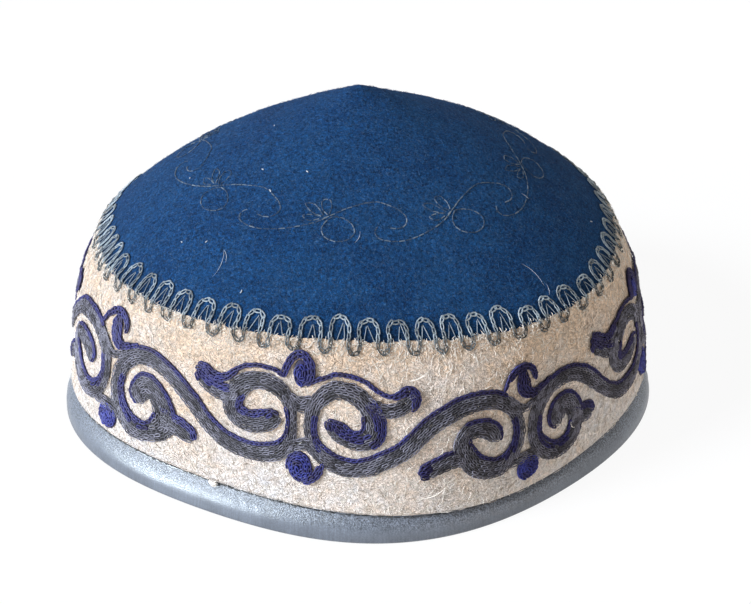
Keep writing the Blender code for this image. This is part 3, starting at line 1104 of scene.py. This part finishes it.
def add_world(scene):
    """A dim sky over a white horizon, which is what low views see behind the floor."""
    world = bpy.data.worlds.new("studio")
    world.use_nodes = True
    tree = world.node_tree
    direction = add_node(tree, "ShaderNodeTexCoord").outputs["Generated"]
    strength = spread(tree, one_axis(tree, direction, "Z"), 0.14, 0.25, 1.0, 0.15)
    tree.links.new(strength, tree.nodes["Background"].inputs["Strength"])
    tree.nodes["Background"].inputs["Color"].default_value = WHITE
    scene.world = world


def add_sun(scene, sun):
    """A lamp for one of the suns, which shines towards the origin."""
    light = bpy.data.lights.new(sun.name, "SUN")
    light.energy = sun.strength
    light.angle = np.radians(sun.softness_deg)
    light.color = sun.colour
    lamp = bpy.data.objects.new(sun.name, light)
    lamp.visible_diffuse = sun.lights_felt
    turn, height = np.radians(sun.round_deg), np.radians(sun.height_deg)
    away = Vector((np.sin(turn) * np.cos(height), -np.cos(turn) * np.cos(height), np.sin(height)))
    lamp.location = away
    lamp.rotation_euler = (-away).to_track_quat("-Z", "Y").to_euler()
    scene.collection.objects.link(lamp)


def photo_camera(scene):
    """The camera looks down at the cap from the front, at the photograph's distance and tilt."""
    middle_x, middle_y = rim_middle()
    tilt = np.radians(CAMERA_TILT_DEG)
    target = Vector((TARGET_X - middle_x, -middle_y, TARGET_Z))
    back = Vector((0.0, -np.cos(tilt), np.sin(tilt)))
    data = bpy.data.cameras.new("photo_camera")
    data.lens = CAMERA_LENS_MM
    data.sensor_width = 36.0
    data.clip_start, data.clip_end = 0.01, 20.0
    camera = bpy.data.objects.new("photo_camera", data)
    right = Vector((1.0, 0.0, 0.0))
    up = back.cross(right)
    facing = Matrix((right, up, back)).transposed()
    rolled = facing @ Matrix.Rotation(np.radians(CAMERA_ROLL_DEG), 3, "Z")
    camera.matrix_world = Matrix.Translation(target + back * CAMERA_DISTANCE) @ rolled.to_4x4()
    scene.collection.objects.link(camera)
    return camera


class DOPPA_OT_crown(bpy.types.Operator):
    """Make the blue felt crown"""

    bl_idname = "doppa.crown"
    bl_label = "Crown"

    def execute(self, context):
        size = context.scene.doppa_sizes
        angle = round_angles(320)
        outer_reach = np.concatenate([np.linspace(0.999, 0.06, 78), np.linspace(0.05, 0.004, 6)])
        inner_reach = np.concatenate([np.linspace(0.004, 0.94, 24), [0.999]])
        outer, _ = felt_skin(crown_face, *np.meshgrid(angle, outer_reach))
        inner = shell_inside(crown_face, angle, inner_reach, size.felt_thickness)
        edge = np.stack([seam_lip(angle, up, lift) for up, lift in CROWN_EDGE])
        rows = np.concatenate([edge, outer, inner])
        points, faces = loft(rows, first_pole=len(edge) + len(outer_reach) - 1)
        # Painted shade: the crown's felt darkens over its last few millimetres towards the seam.
        painted_seam_shade = ease((1.0 - np.concatenate([np.ones(len(edge)), outer_reach, inner_reach])) / 0.055)
        tone = np.append(np.repeat(painted_seam_shade, len(angle)), np.ones(len(points) - rows.size // 3))
        colours = context.scene.doppa_colours
        material = felt_material("blue_felt", colours.crown, colours.crown_shade, CROWN_FELT)
        piece = make_piece("crown_felt", points, faces, material, tone=tone)
        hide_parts("crown")
        return {"FINISHED"}


def shell_inside(face, angle, places, thickness):
    """The inner face: the outer one moved in by the thickness, along the seam's mitre close to it."""
    grid_angle, grid_place = np.meshgrid(angle, places)
    straight = -thickness * outward(face, grid_angle, grid_place)
    ones = np.ones_like(angle)
    side, top = outward(band_face, angle, ones), outward(crown_face, angle, ones)
    middle = unit(side + top)
    mitre = middle * (-thickness / np.sum(middle * side, axis=-1, keepdims=True))
    share = ease((grid_place - 0.8) / 0.2)[..., None]
    return face(grid_angle, grid_place) + straight * (1.0 - share) + mitre[None] * share


class DOPPA_OT_band(bpy.types.Operator):
    """Make the cream felt band"""

    bl_idname = "doppa.band"
    bl_label = "Band"

    def execute(self, context):
        size = context.scene.doppa_sizes
        angle = round_angles(400)
        swell_start = size.binding_height + 0.0001
        first = swell_start / size.seam_height
        swell_rise = np.linspace(0.0, 0.028, 9)
        rise = np.concatenate([first + swell_rise[:-1], np.linspace(first + swell_rise[-1], 0.9985, 66)])
        grid_angle, grid_rise = np.meshgrid(angle, rise)
        lowered = (1.0 - tape_share(grid_angle)) * first * (1.0 - ease((grid_rise - first) / 0.30))
        dropped = (felt_drop(grid_angle) * MM / size.seam_height) * ease((grid_rise - 0.85) / 0.15)
        grid_rise = grid_rise - dropped - lowered
        outer, away = felt_skin(band_face, grid_angle, grid_rise)
        over_tape = grid_rise * size.seam_height - swell_start * tape_share(grid_angle)
        swell = ease(over_tape / FELT_SWELL) ** 0.7
        outer = outer - away * (FELT_UNDER_TAPE * (1.0 - swell))[..., None]
        flat = [(FELT_UNDER_TAPE, FELT_FOOT), (FELT_UNDER_TAPE, swell_start * 0.5)]
        under_tape = np.stack([inset_row(angle, inset, height) for inset, height in flat])
        edge = np.stack([seam_lip(angle, up, lift) for up, lift in BAND_EDGE])
        inner_rise = np.concatenate([[0.9975], np.linspace(0.92, 0.24, 18)])
        inner = shell_inside(band_face, angle, inner_rise, size.felt_thickness)
        foot = [(size.felt_thickness, swell_start * 0.5), (size.felt_thickness, FELT_FOOT)]
        inner_foot = np.stack([inset_row(angle, inset, height) for inset, height in foot])
        rows = np.concatenate([under_tape, outer, edge, inner, inner_foot])
        points, faces = loft(rows)
        colours = context.scene.doppa_colours
        material = felt_material("cream_felt", colours.band, colours.band_shade, BAND_FELT)
        piece = make_piece("band_felt", points, faces, material, tone=np.ones(len(points)))
        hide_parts("band")
        return {"FINISHED"}


def inset_row(angle, inset, height):
    """A row of points at a height, a small inset inside the band's outer face."""
    rise = height / seam_height(angle)
    return around(angle, band_radius(angle, rise) - inset, np.full_like(angle, height))


def seam_lip(angle, up, lift):
    """A row of the band's ragged upper edge, which lies on the crown's edge. up and lift are in
    millimetres, from the seam and from the skin."""
    base = np.stack([np.sin(angle), np.cos(angle), 0.0 * angle], axis=-1)
    ragged = 0.30 * soft_noise(base, 0.03, 8) + 0.30 * soft_noise(base, 0.009, 9)
    along = angle * sizes().seam_radius / MM
    return lay_on_seam(np.column_stack([along, up + ragged - felt_drop(angle), np.full_like(angle, lift)]))


class DOPPA_OT_binding(bpy.types.Operator):
    """Make the satin binding and the stitches along its upper edge"""

    bl_idname = "doppa.binding"
    bl_label = "Binding"

    def execute(self, context):
        size = context.scene.doppa_sizes
        colours = context.scene.doppa_colours
        angle = round_angles(720)
        section = tape_section(size)
        insets, heights = section[:, 0], section[:, 1]
        grid_angle, grid_inset = np.meshgrid(angle, insets)
        grid_height = np.broadcast_to(heights[:, None], grid_angle.shape)
        pucker = tape_puckers(grid_angle, grid_height, grid_inset)
        belly = ease((FLATTER_INSET - grid_inset) / (FLATTER_INSET + TAPE_SWELL))
        flatter = 2.0 * (1.0 - tape_share(grid_angle)) * belly
        pucker = pucker - TAPE_SWELL * flatter
        grid_height = grid_height * tape_share(grid_angle)
        rise = grid_height / seam_height(grid_angle)
        rows = around(grid_angle, band_radius(grid_angle, rise) - grid_inset + pucker, grid_height)
        points, faces = loft(rows)
        across = np.broadcast_to(distances(section)[:, None], grid_angle.shape)
        plan = np.stack([grid_angle * size.rim_radius, across], axis=-1)
        material = satin_material(colours.satin)
        piece = make_piece("binding_tape", points, faces, material, plan=plan)
        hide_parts("binding")
        make_binding_stitches(size)
        return {"FINISHED"}


def tape_share(angle):
    """The tape's height as a share of its full height: it is narrowest at the right front."""
    dip = TAPE_DIP * np.exp(7.0 * (np.cos(angle - np.radians(TAPE_DIP_DEG)) - 1.0))
    return 1.0 - dip / sizes().binding_height


def tape_inset(height):
    """How far the tape's outside lies inside the band's face: it is drawn in at its stitched edge,
    swells out to its belly and is rounded under at the rim."""
    above = sizes().binding_height - TAPE_BELLY
    upper = np.maximum(height - TAPE_BELLY, 0.0) / above
    under = np.maximum(TAPE_CORNER - height, 0.0)
    rounded = TAPE_CORNER - np.sqrt(np.maximum(TAPE_CORNER**2 - under**2, 0.0))
    return (TAPE_DRAWN_IN + TAPE_SWELL) * upper**1.8 - TAPE_SWELL + rounded


def tape_section(size):
    """The tape's section as (inset, height): a full outside, and a channel for the felt's edge."""
    width = size.felt_thickness + FELT_PLAY + size.tape_thickness
    corner_height = TAPE_CORNER * (1.0 - np.sin(np.linspace(0.0, 0.5, 7) * np.pi))
    outside_height = np.concatenate([np.linspace(size.binding_height, 0.0013, 18), corner_height])
    outside = np.column_stack([tape_inset(outside_height), outside_height])
    turn = np.linspace(0.0, 0.5 * np.pi, 5)
    corner = INNER_CORNER
    inner_corner = np.column_stack([width - corner * (1.0 - np.sin(turn)), corner * (1.0 - np.cos(turn))])
    inside = [
        (width, size.binding_height * 0.5),
        (width, size.binding_height),
        (width - size.tape_thickness, size.binding_height),
        (width - size.tape_thickness, CHANNEL_FLOOR),
        (CHANNEL_INSET, CHANNEL_FLOOR),
        (CHANNEL_INSET, size.binding_height - 0.0004),
    ]
    return np.concatenate([outside, inner_corner, np.array(inside)])


def tape_puckers(angle, height, inset):
    """Small slanting puckers of the tape's outer side, strongest at the stitches, and none under it."""
    size = sizes()
    along = angle * size.rim_radius
    base = np.stack([np.sin(angle), np.cos(angle), height * 8.0], axis=-1)
    slant = along + 0.8 * height
    ripple = np.sin(2.0 * np.pi * slant / PUCKER_PITCH + 4.0 * soft_noise(base, 0.11, 11))
    amount = PUCKER_SIZE * (0.4 + 0.6 * soft_noise(base, 0.17, 12)) * (0.35 + 0.65 * ease(height / 0.008))
    wide = TAPE_WAVE_SIZE * soft_noise(base, 0.21, 13)
    return (ripple * amount + wide) * ease(height / 0.004) * (inset < OUTER_SIDE_INSET)


def make_binding_stitches(size):
    """Running stitches in dark thread just below the tape's upper edge."""
    count = stitching().tape_stitches
    pitch = 2.0 * np.pi * ORNAMENT_RADIUS / MM / count
    t = np.linspace(-0.5, 0.5, 5)
    along = np.arange(count)[:, None] * pitch + t * pitch * 0.86
    height = size.binding_height / MM - 0.45
    chance = np.random.default_rng(21)
    up = height * tape_share(along * MM / ORNAMENT_RADIUS) + chance.normal(0.0, 0.10, (count, 1))
    lift = -tape_inset(height * MM) / MM + 0.05 + 0.16 * np.cos(np.pi * t) + 0.0 * along
    path = np.stack([along, up, lift], axis=-1)
    radius, tone = chance.uniform(0.14, 0.30, (count, 1)), chance.uniform(0.0, 1.0, count)
    material = thread_material("edge_thread", (0.060, 0.068, 0.070), (0.008, 0.008, 0.008), 0.6)
    make_threads("binding_stitches", path, radius, 0.14, 4, lay_on_band, material, tone)


class DOPPA_OT_scrolls(bpy.types.Operator):
    """Make the scroll embroidery: grey ribbons, blue edging and blue buds"""

    bl_idname = "doppa.scrolls"
    bl_label = "Scrolls"

    def execute(self, context):
        colours = context.scene.doppa_colours
        grey = thread_material("grey_thread", colours.grey_thread, (0.028, 0.025, 0.029), 0.6)
        blue = thread_material("blue_thread", colours.blue_thread, (0.022, 0.014, 0.050), 0.6)
        kinds = ((ROUND_LOW_STROKES, ROUND_LOW_BUDS), (ROUND_HIGH_STROKES, ROUND_HIGH_BUDS))
        for number in range(UNIT_COUNT):
            strokes, buds = kinds[number % 2]
            make_unit(number, strokes, buds, grey, blue)
        return {"FINISHED"}


def make_unit(number, strokes, buds, grey, blue):
    """One unit of the ornament: a grey piece and a blue piece, each of pads and chain stitches."""
    stitches = stitching()
    length = stitches.stitch_length / MM
    widths = {False: stitches.stitch_width / MM, True: stitches.blue_width / MM}
    spacing = {False: GREY_SPACING * length, True: BLUE_SPACING * length}
    links = {False: [], True: []}
    pads = {False: [], True: []}
    for stroke in strokes:
        line, rows = stroke_rows(stroke)
        pad = np.column_stack([line[:, :2], np.full(len(line), PAD_LIFT)])
        pads[stroke.thread == "blue"].append((pad[::2], np.maximum(line[::2, 2] - PAD_MARGIN, 0.1)))
        for row, is_blue in rows:
            links[is_blue].append(row_of_links(row, spacing[is_blue], length, widths[is_blue], LINK_TILT))
    edging_count = sum(len(row) for row in links[True])
    for bud in buds:
        spiral = bud_rows(bud)
        round_link = (spacing[True] * 0.9, length * 0.85, widths[True], LINK_TILT)
        links[True].append(row_of_links(spiral, *round_link))
        pads[True].append(bud_pad(bud))
    make_stitched(f"scroll_{number + 1}", number, pads[False], links[False], 0, grey, "grey_thread")
    make_stitched(f"edging_{number + 1}", number, pads[True], links[True], edging_count, blue, "blue_thread")


def strayed(plane, stray):
    """The unit's plane points moved by its stray, which fades out towards the neighbouring units."""
    share = 1.0 - ease((np.abs(plane[..., 0]) - STRAY_CORE) / STRAY_FADE)
    moved = plane.copy()
    moved[..., 0] += share * (stray.along + stray.lean * (plane[..., 1] - STRAY_MIDDLE))
    moved[..., 1] += share * (stray.up + stray.stretch * plane[..., 1])
    return moved


def make_stitched(name, number, pads, links, dark_count, material, slot):
    """Join pads and chain stitches into one piece on the band. Pads are dark, as painted shade in the gaps
    between the links, and each link has a tone, which is lower for the first dark_count of them."""
    stitches = stitching()
    is_blue = slot == "blue_thread"
    radius = (stitches.blue_radius if is_blue else stitches.thread_radius) / MM
    chance = np.random.default_rng(100 + number)
    points, faces, tones, total = [], [], [], 0
    rings = np.concatenate(links)
    rings = rings + chance.normal(0.0, 0.07, (len(rings), 1, 3)) * (1.0, 1.0, 0.7)
    ring_points, ring_faces = tubes(rings, radius, radius, 3, closed=True)
    tone = 0.18 + 0.82 * chance.uniform(0.0, 1.0, len(rings)) ** (0.9 if is_blue else 1.3)
    tone[:dark_count] *= EDGING_TONES.get(number, EDGING_TONE)
    parts = [(ring_points, ring_faces, tone)]
    for line, half in pads:
        pad_points, pad_faces = tubes(line[None], half[None], 0.16, 12, closed=False)
        # The pads take the darkest tone: painted shade under and between the links.
        parts.append((pad_points, pad_faces, np.array([0.0])))
    for part_points, part_faces, tone in parts:
        points.append(part_points.reshape(-1, 3))
        faces += [[corner + total for corner in face] for face in part_faces]
        tones.append(each(tone, part_points).ravel())
        total += part_points.size // 3
    plane = strayed(np.concatenate(points), STRAYS.get(number, EVEN))
    laid = lay_on_band(plane, FIRST_UNIT_DEG + UNIT_STEP_DEG * number)
    make_piece(name, laid, faces, material, tone=np.concatenate(tones))


class DOPPA_OT_seam_loops(bpy.types.Operator):
    """Make the thread loops that bind the seam"""

    bl_idname = "doppa.seam_loops"
    bl_label = "Seam loops"

    def execute(self, context):
        size = context.scene.doppa_sizes
        stitches = context.scene.doppa_stitches
        chance = np.random.default_rng(31)
        tops, heights = loop_tops(size, stitches)
        count = len(tops) - 1
        steps = 64
        number = np.arange(count * steps) / steps
        part = number % 1.0
        swing = part + 0.07 * np.sin(2.0 * np.pi * part) + 0.10 * np.sin(4.0 * np.pi * part)
        whole = np.arange(-1, count + 2)
        beyond = np.concatenate([[2.0 * tops[0] - tops[1]], tops, [2.0 * tops[-1] - tops[-2]]])
        along = np.interp(np.floor(number) + swing, whole, beyond)
        before, after = np.floor(number).astype(int), np.ceil(number).astype(int) % count
        top = np.where(part < 0.5, heights[before], heights[after])
        depths = chance.normal(stitches.loop_depth / MM, 0.25, count + 1)
        bottom = -np.interp(number, np.arange(count + 1), depths)
        bottom = bottom - 0.7 * felt_drop(seam_angle(along))
        up = 0.5 * (top + bottom) + 0.5 * (top - bottom) * np.cos(2.0 * np.pi * part)
        line = np.column_stack([along, up, np.full(len(along), 0.28)])
        links = row_of_links(line, *LOOP_LINK)
        links = links + chance.normal(0.0, 0.10, (len(links), 1, 3)) * (1.0, 1.0, 0.3)
        points, faces = tubes(links, LOOP_THREAD, LOOP_THREAD, 4, closed=True)
        tone = each(chance.uniform(0.35, 1.0, len(links)), points)
        # Painted shade: the loops darken towards their lower ends, where they sink below the felt's edge.
        edge = felt_drop(seam_angle(points[..., 0]))
        low = ease((points[..., 1] + edge + 0.3) / 1.6)
        tone_left_in_shade = chance.uniform(0.0, 0.34, len(links))[:, None, None]
        tone = tone * (tone_left_in_shade + (1.0 - tone_left_in_shade) * low)
        middle_threads(tops[:-1], heights[:-1], chance)
        colours = context.scene.doppa_colours
        material = thread_material("trim_thread", colours.trim_thread, (0.030, 0.028, 0.024), 0.5)
        make_piece("seam_loops", lay_on_seam(points), faces, material, tone=tone)
        return {"FINISHED"}


def loop_tops(size, stitches):
    """Where the loops' tops stand along the seam, once round the cap, and their heights, both in
    millimetres. The last is the first again."""
    front = np.array(FRONT_LOOPS)
    back = np.linspace(front[-1, 0], front[0, 0] + 360.0, BACK_LOOPS + 2)[1:-1]
    degrees = np.concatenate([front[:, 0], back, [front[0, 0] + 360.0]])
    heights = np.concatenate([front[:, 1], np.full(BACK_LOOPS, stitches.loop_height / MM), front[:1, 1]])
    return np.radians(degrees) * size.seam_radius / MM, heights


def middle_threads(tops, heights, chance):
    """Two fine threads inside each loop, which lean together at their tops."""
    t = np.linspace(0.0, 1.0, 6)
    count = len(tops)
    middle = np.repeat(tops + chance.normal(0.0, 0.4, count), 2)
    side = np.tile([-1.0, 1.0], count)
    foot = side * 1.35 + chance.normal(0.0, 0.2, 2 * count)
    head = side * 0.15 + np.repeat(chance.normal(0.0, 0.4, count), 2)
    along = middle[:, None] + foot[:, None] * (1.0 - t) + head[:, None] * t
    tall = np.repeat(heights, 2)[:, None] * 0.66 + chance.normal(0.0, 0.3, (2 * count, 1))
    low = -felt_drop(seam_angle(along))
    up = 0.2 + low * (1.0 - t) + tall * t
    path = np.stack([along, up, 0.12 + 0.18 * np.sin(np.pi * t) + 0.0 * along], axis=-1)
    tone = chance.uniform(0.4, 0.9, 2 * count)
    material = thread_material("fine_thread", (0.34, 0.41, 0.47), (0.05, 0.06, 0.07), 0.5)
    make_threads("middle_threads", path, 0.13, 0.13, 4, lay_on_seam, material, tone)


class DOPPA_OT_vine(bpy.types.Operator):
    """Make the faint running stitch vine on the crown"""

    bl_idname = "doppa.vine"
    bl_label = "Crown vine"

    def execute(self, context):
        chance = np.random.default_rng(41)
        scale = np.array([np.radians(1.0) * VINE_REACH * CROWN_RADIUS_MM, CROWN_SLANT_MM])
        dashes = []
        for number in range(UNIT_COUNT):
            for line in VINE_LINES:
                flat = smooth_line(np.array(line) * scale, 0.35)
                place = distances(flat)
                count = max(1, int(place[-1] / VINE_PITCH))
                starts = (np.arange(count) + 0.10) * place[-1] / count
                spots = starts[:, None] + np.linspace(0.0, VINE_DASH, 5)
                dash = at_distances(flat, place, spots) / scale
                dash[..., 0] += FIRST_UNIT_DEG + UNIT_STEP_DEG * number
                dashes.append(dash)
        path = np.concatenate(dashes)
        lift = np.broadcast_to(0.05 + 0.13 * np.sin(np.linspace(0.0, np.pi, 5)), path.shape[:2])
        plane = np.concatenate([path * scale, lift[..., None]], axis=-1)
        points, faces = tubes(plane, 0.17, 0.12, 4, closed=False)
        points[..., :2] /= scale
        tone = each(chance.uniform(0.0, 1.0, len(plane)) ** 1.8, points)
        material = thread_material("vine_thread", (0.16, 0.215, 0.27), (0.010, 0.036, 0.080), 0.7)
        make_piece("crown_vine", lay_on_crown(points), faces, material, tone=tone)
        return {"FINISHED"}


def loose_fibres(count, chance, stations, lengths, alongs, ups, lifts):
    """Plane paths of loose fibres: bent lines of random places, headings, lengths and bends, whose
    lift rises and falls along them. Each range is a pair of the least and the most."""
    t = np.linspace(0.0, 1.0, stations)
    heading = chance.uniform(0.0, 2.0 * np.pi, count)
    step = chance.uniform(*lengths, count)[:, None] / (stations - 1)
    turn = heading[:, None] + chance.normal(0.0, 1.6, count)[:, None] * (t - 0.5)
    right, ahead = steps_turning(turn, step)
    along = chance.uniform(*alongs, (count, 1)) + right
    up = chance.uniform(*ups, (count, 1)) + ahead
    lift = -0.04 + chance.uniform(*lifts, (count, 1)) * np.sin(np.pi * t)
    return np.stack([along, up, lift], axis=-1)


def taper(stations):
    """Thickness along a fibre: full in the middle and thin at both ends."""
    t = np.linspace(0.0, 1.0, stations)
    return 0.3 + 0.7 * np.sin(np.pi * t)


class DOPPA_OT_nap(bpy.types.Operator):
    """Make the loose wool fibres of both felts, and the lint on the crown"""

    bl_idname = "doppa.nap"
    bl_label = "Felt nap"

    def execute(self, context):
        size = context.scene.doppa_sizes
        stitches = context.scene.doppa_stitches
        chance = np.random.default_rng(51)
        half_girth = np.pi * ORNAMENT_RADIUS / MM
        top = size.seam_height / MM
        material = thread_material("cream_fibre", (0.97, 0.92, 0.84), (0.34, 0.25, 0.18), 0.8)
        alongs, ups = (-half_girth, half_girth), (NAP_START, top)
        path = loose_fibres(stitches.band_fibres, chance, 5, (1.5, 5.0), alongs, ups, (0.1, 0.34))
        share = tape_share(path[..., 0] * MM / ORNAMENT_RADIUS)
        path[..., 1] -= (1.0 - share) * NAP_START * (top - path[..., 1]) / (top - NAP_START)
        path[..., 1] = np.clip(path[..., 1], (NAP_START - 0.2) * share, top - 0.5)
        tone = 1.0 - chance.uniform(0.0, 1.0, len(path)) ** 2.5
        wide, high = 0.10 * taper(5), 0.08 * taper(5)
        make_threads("band_nap", path, wide, high, 3, lay_on_band, material, tone)
        make_edge_tufts(stitches.edge_tufts, material, chance)
        make_caught_tuft(material, chance)
        make_band_hairs(material)
        make_crown_nap(stitches.crown_fibres, chance)
        make_lint()
        return {"FINISHED"}


def make_edge_tufts(count, material, chance):
    """Short cream fibres along the band's upper edge, which stray onto the crown."""
    t = np.linspace(0.0, 1.0, 4)
    girth = 2.0 * np.pi * sizes().seam_radius / MM
    heading = 0.5 * np.pi + chance.normal(0.0, 0.9, count)
    step = chance.uniform(0.3, 1.5, count)[:, None] * t
    along = chance.uniform(0.0, girth, (count, 1)) + np.cos(heading)[:, None] * step
    low = felt_drop(seam_angle(along[:, :1]))
    over = chance.uniform(0.0, 1.0, (count, 1)) < 0.4
    up = np.where(over, chance.normal(-2.2, 0.9, (count, 1)), chance.normal(-0.55, 0.45, (count, 1)))
    up = up - low + np.sin(heading)[:, None] * step
    lift = chance.uniform(0.05, 0.55, (count, 1)) + 0.45 * over
    lift = lift * np.sin(np.pi * t)
    path = np.stack([along, up, lift], axis=-1)
    wide, high, tone = 0.11 * taper(4), 0.09 * taper(4), chance.uniform(0.5, 1.0, count)
    make_threads("edge_tufts", path, wide, high, 3, lay_on_seam, material, tone)


def make_band_hairs(material):
    """Long pale hairs that lie on the band."""
    t = np.linspace(0.0, 1.0, 9)
    degrees, up, length, heading, bend = np.array(BAND_HAIRS).T[:, :, None]
    turn = np.radians(heading + bend * (t - 0.5))
    step = length / (len(t) - 1)
    right, ahead = steps_turning(turn, step)
    along = np.radians(degrees) * ORNAMENT_RADIUS / MM + right
    path = np.stack([along, up + ahead, 0.8 + 0.0 * turn], axis=-1)
    thick, tone = 0.17 * taper(9), np.ones(len(path))
    make_threads("band_hairs", path, thick, thick, 4, lay_on_band, material, tone)


def make_caught_tuft(material, chance):
    """A flat tuft of cream wool caught in the tape's stitches."""
    count, t = 26, np.linspace(0.0, 1.0, 5)
    heading = chance.normal(0.0, 0.35, (count, 1))
    step = chance.uniform(1.0, 2.6, (count, 1)) * (t - 0.5)
    along = CAUGHT_DEG * np.pi / 180.0 * ORNAMENT_RADIUS / MM + chance.normal(0.0, 0.45, (count, 1))
    up = CAUGHT_UP + chance.normal(0.0, 0.40, (count, 1)) + np.sin(heading) * step
    lift = chance.uniform(0.1, 0.7, (count, 1)) * np.sin(np.pi * t) - 0.1
    path = np.stack([along + np.cos(heading) * step, up, lift], axis=-1)
    wide, high, tone = 0.22 * taper(5), 0.16 * taper(5), chance.uniform(0.8, 1.0, count)
    make_threads("caught_tuft", path, wide, high, 4, lay_on_band, material, tone)


def make_crown_nap(count, chance):
    """Short blue fibres all over the crown, spread evenly over its area."""
    t = np.linspace(0.0, 1.0, 4)
    spin = chance.uniform(0.0, 2.0 * np.pi, count)
    reach = np.sqrt(chance.uniform(0.0, 0.985, count))
    heading = chance.uniform(0.0, 2.0 * np.pi, count)
    length = chance.uniform(0.8, 2.6, count)
    turn = heading[:, None] + chance.normal(0.0, 1.0, (count, 1)) * (t - 0.5)
    step = length[:, None] / (len(t) - 1)
    right, ahead = steps_turning(turn, step)
    x = reach[:, None] * np.sin(spin)[:, None] * CROWN_MEAN_MM + right
    y = -reach[:, None] * np.cos(spin)[:, None] * CROWN_MEAN_MM + ahead
    away = chance.uniform(0.05, 0.35, count)[:, None] * np.sin(0.5 * np.pi * t)
    path = np.stack([x, y, away - 0.03], axis=-1)
    thick, tone = 0.05 * taper(4), chance.uniform(0.0, 1.0, count)
    material = thread_material("blue_fibre", (0.035, 0.115, 0.27), (0.006, 0.03, 0.10), 0.8)
    make_threads("crown_nap", path, thick, thick, 3, lay_from_above, material, tone)


def make_lint():
    """Pale specks and stray hairs: tapered threads that lie on the crown."""
    t = np.linspace(0.0, 1.0, 6)
    degrees, reach, length, heading = np.array(LINT).T
    turn = np.radians(heading)[:, None] + 0.5 * (t - 0.5)
    step = length[:, None] * t
    along = step * np.cos(turn)
    down = -step * np.sin(turn)
    plane = np.stack([along, down, 0.25 + 0.0 * along], axis=-1)
    thick = np.where(length < 2.0, 0.20, 0.06)[:, None] * taper(6)
    points, faces = tubes(plane, thick, thick, 4, closed=False)
    laid = points.copy()
    degrees, reach = each(degrees, points), each(reach, points)
    laid[..., 0] = degrees + np.degrees(points[..., 0] / (CROWN_RADIUS_MM * reach))
    laid[..., 1] = reach - points[..., 1] / CROWN_SLANT_MM
    tone = np.ones(points.shape[:3])
    material = thread_material("lint", (0.55, 0.60, 0.66), (0.2, 0.25, 0.3), 0.8)
    make_piece("lint", lay_on_crown(laid), faces, material, tone=tone)


class DOPPA_PT_panel(bpy.types.Panel):
    """Lists the pieces of the cap and their sizes and colours"""

    bl_idname = "DOPPA_PT_panel"
    bl_label = "Doppa Cap"
    bl_space_type = "VIEW_3D"
    bl_region_type = "UI"
    bl_category = "Doppa Cap"

    def draw(self, context):
        for group in (context.scene.doppa_sizes, context.scene.doppa_stitches, context.scene.doppa_colours):
            box = self.layout.box()
            for name in group.__annotations__:
                box.prop(group, name)
        for operator in OPERATORS:
            self.layout.operator(operator.bl_idname)


OPERATORS = (
    DOPPA_OT_stage,
    DOPPA_OT_crown,
    DOPPA_OT_band,
    DOPPA_OT_binding,
    DOPPA_OT_scrolls,
    DOPPA_OT_seam_loops,
    DOPPA_OT_vine,
    DOPPA_OT_nap,
)
CLASSES = (DoppaSizes, DoppaStitches, DoppaColours, *OPERATORS, DOPPA_PT_panel)


def register():
    for kind in CLASSES:
        bpy.utils.register_class(kind)
    bpy.types.Scene.doppa_sizes = PointerProperty(type=DoppaSizes)
    bpy.types.Scene.doppa_stitches = PointerProperty(type=DoppaStitches)
    bpy.types.Scene.doppa_colours = PointerProperty(type=DoppaColours)


def unregister():
    del bpy.types.Scene.doppa_colours
    del bpy.types.Scene.doppa_stitches
    del bpy.types.Scene.doppa_sizes
    for kind in reversed(CLASSES):
        bpy.utils.unregister_class(kind)


def main():
    register()
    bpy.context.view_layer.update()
    for operator in OPERATORS:
        group, name = operator.bl_idname.split(".")
        getattr(getattr(bpy.ops, group), name)()


if __name__ == "__main__":
    main()
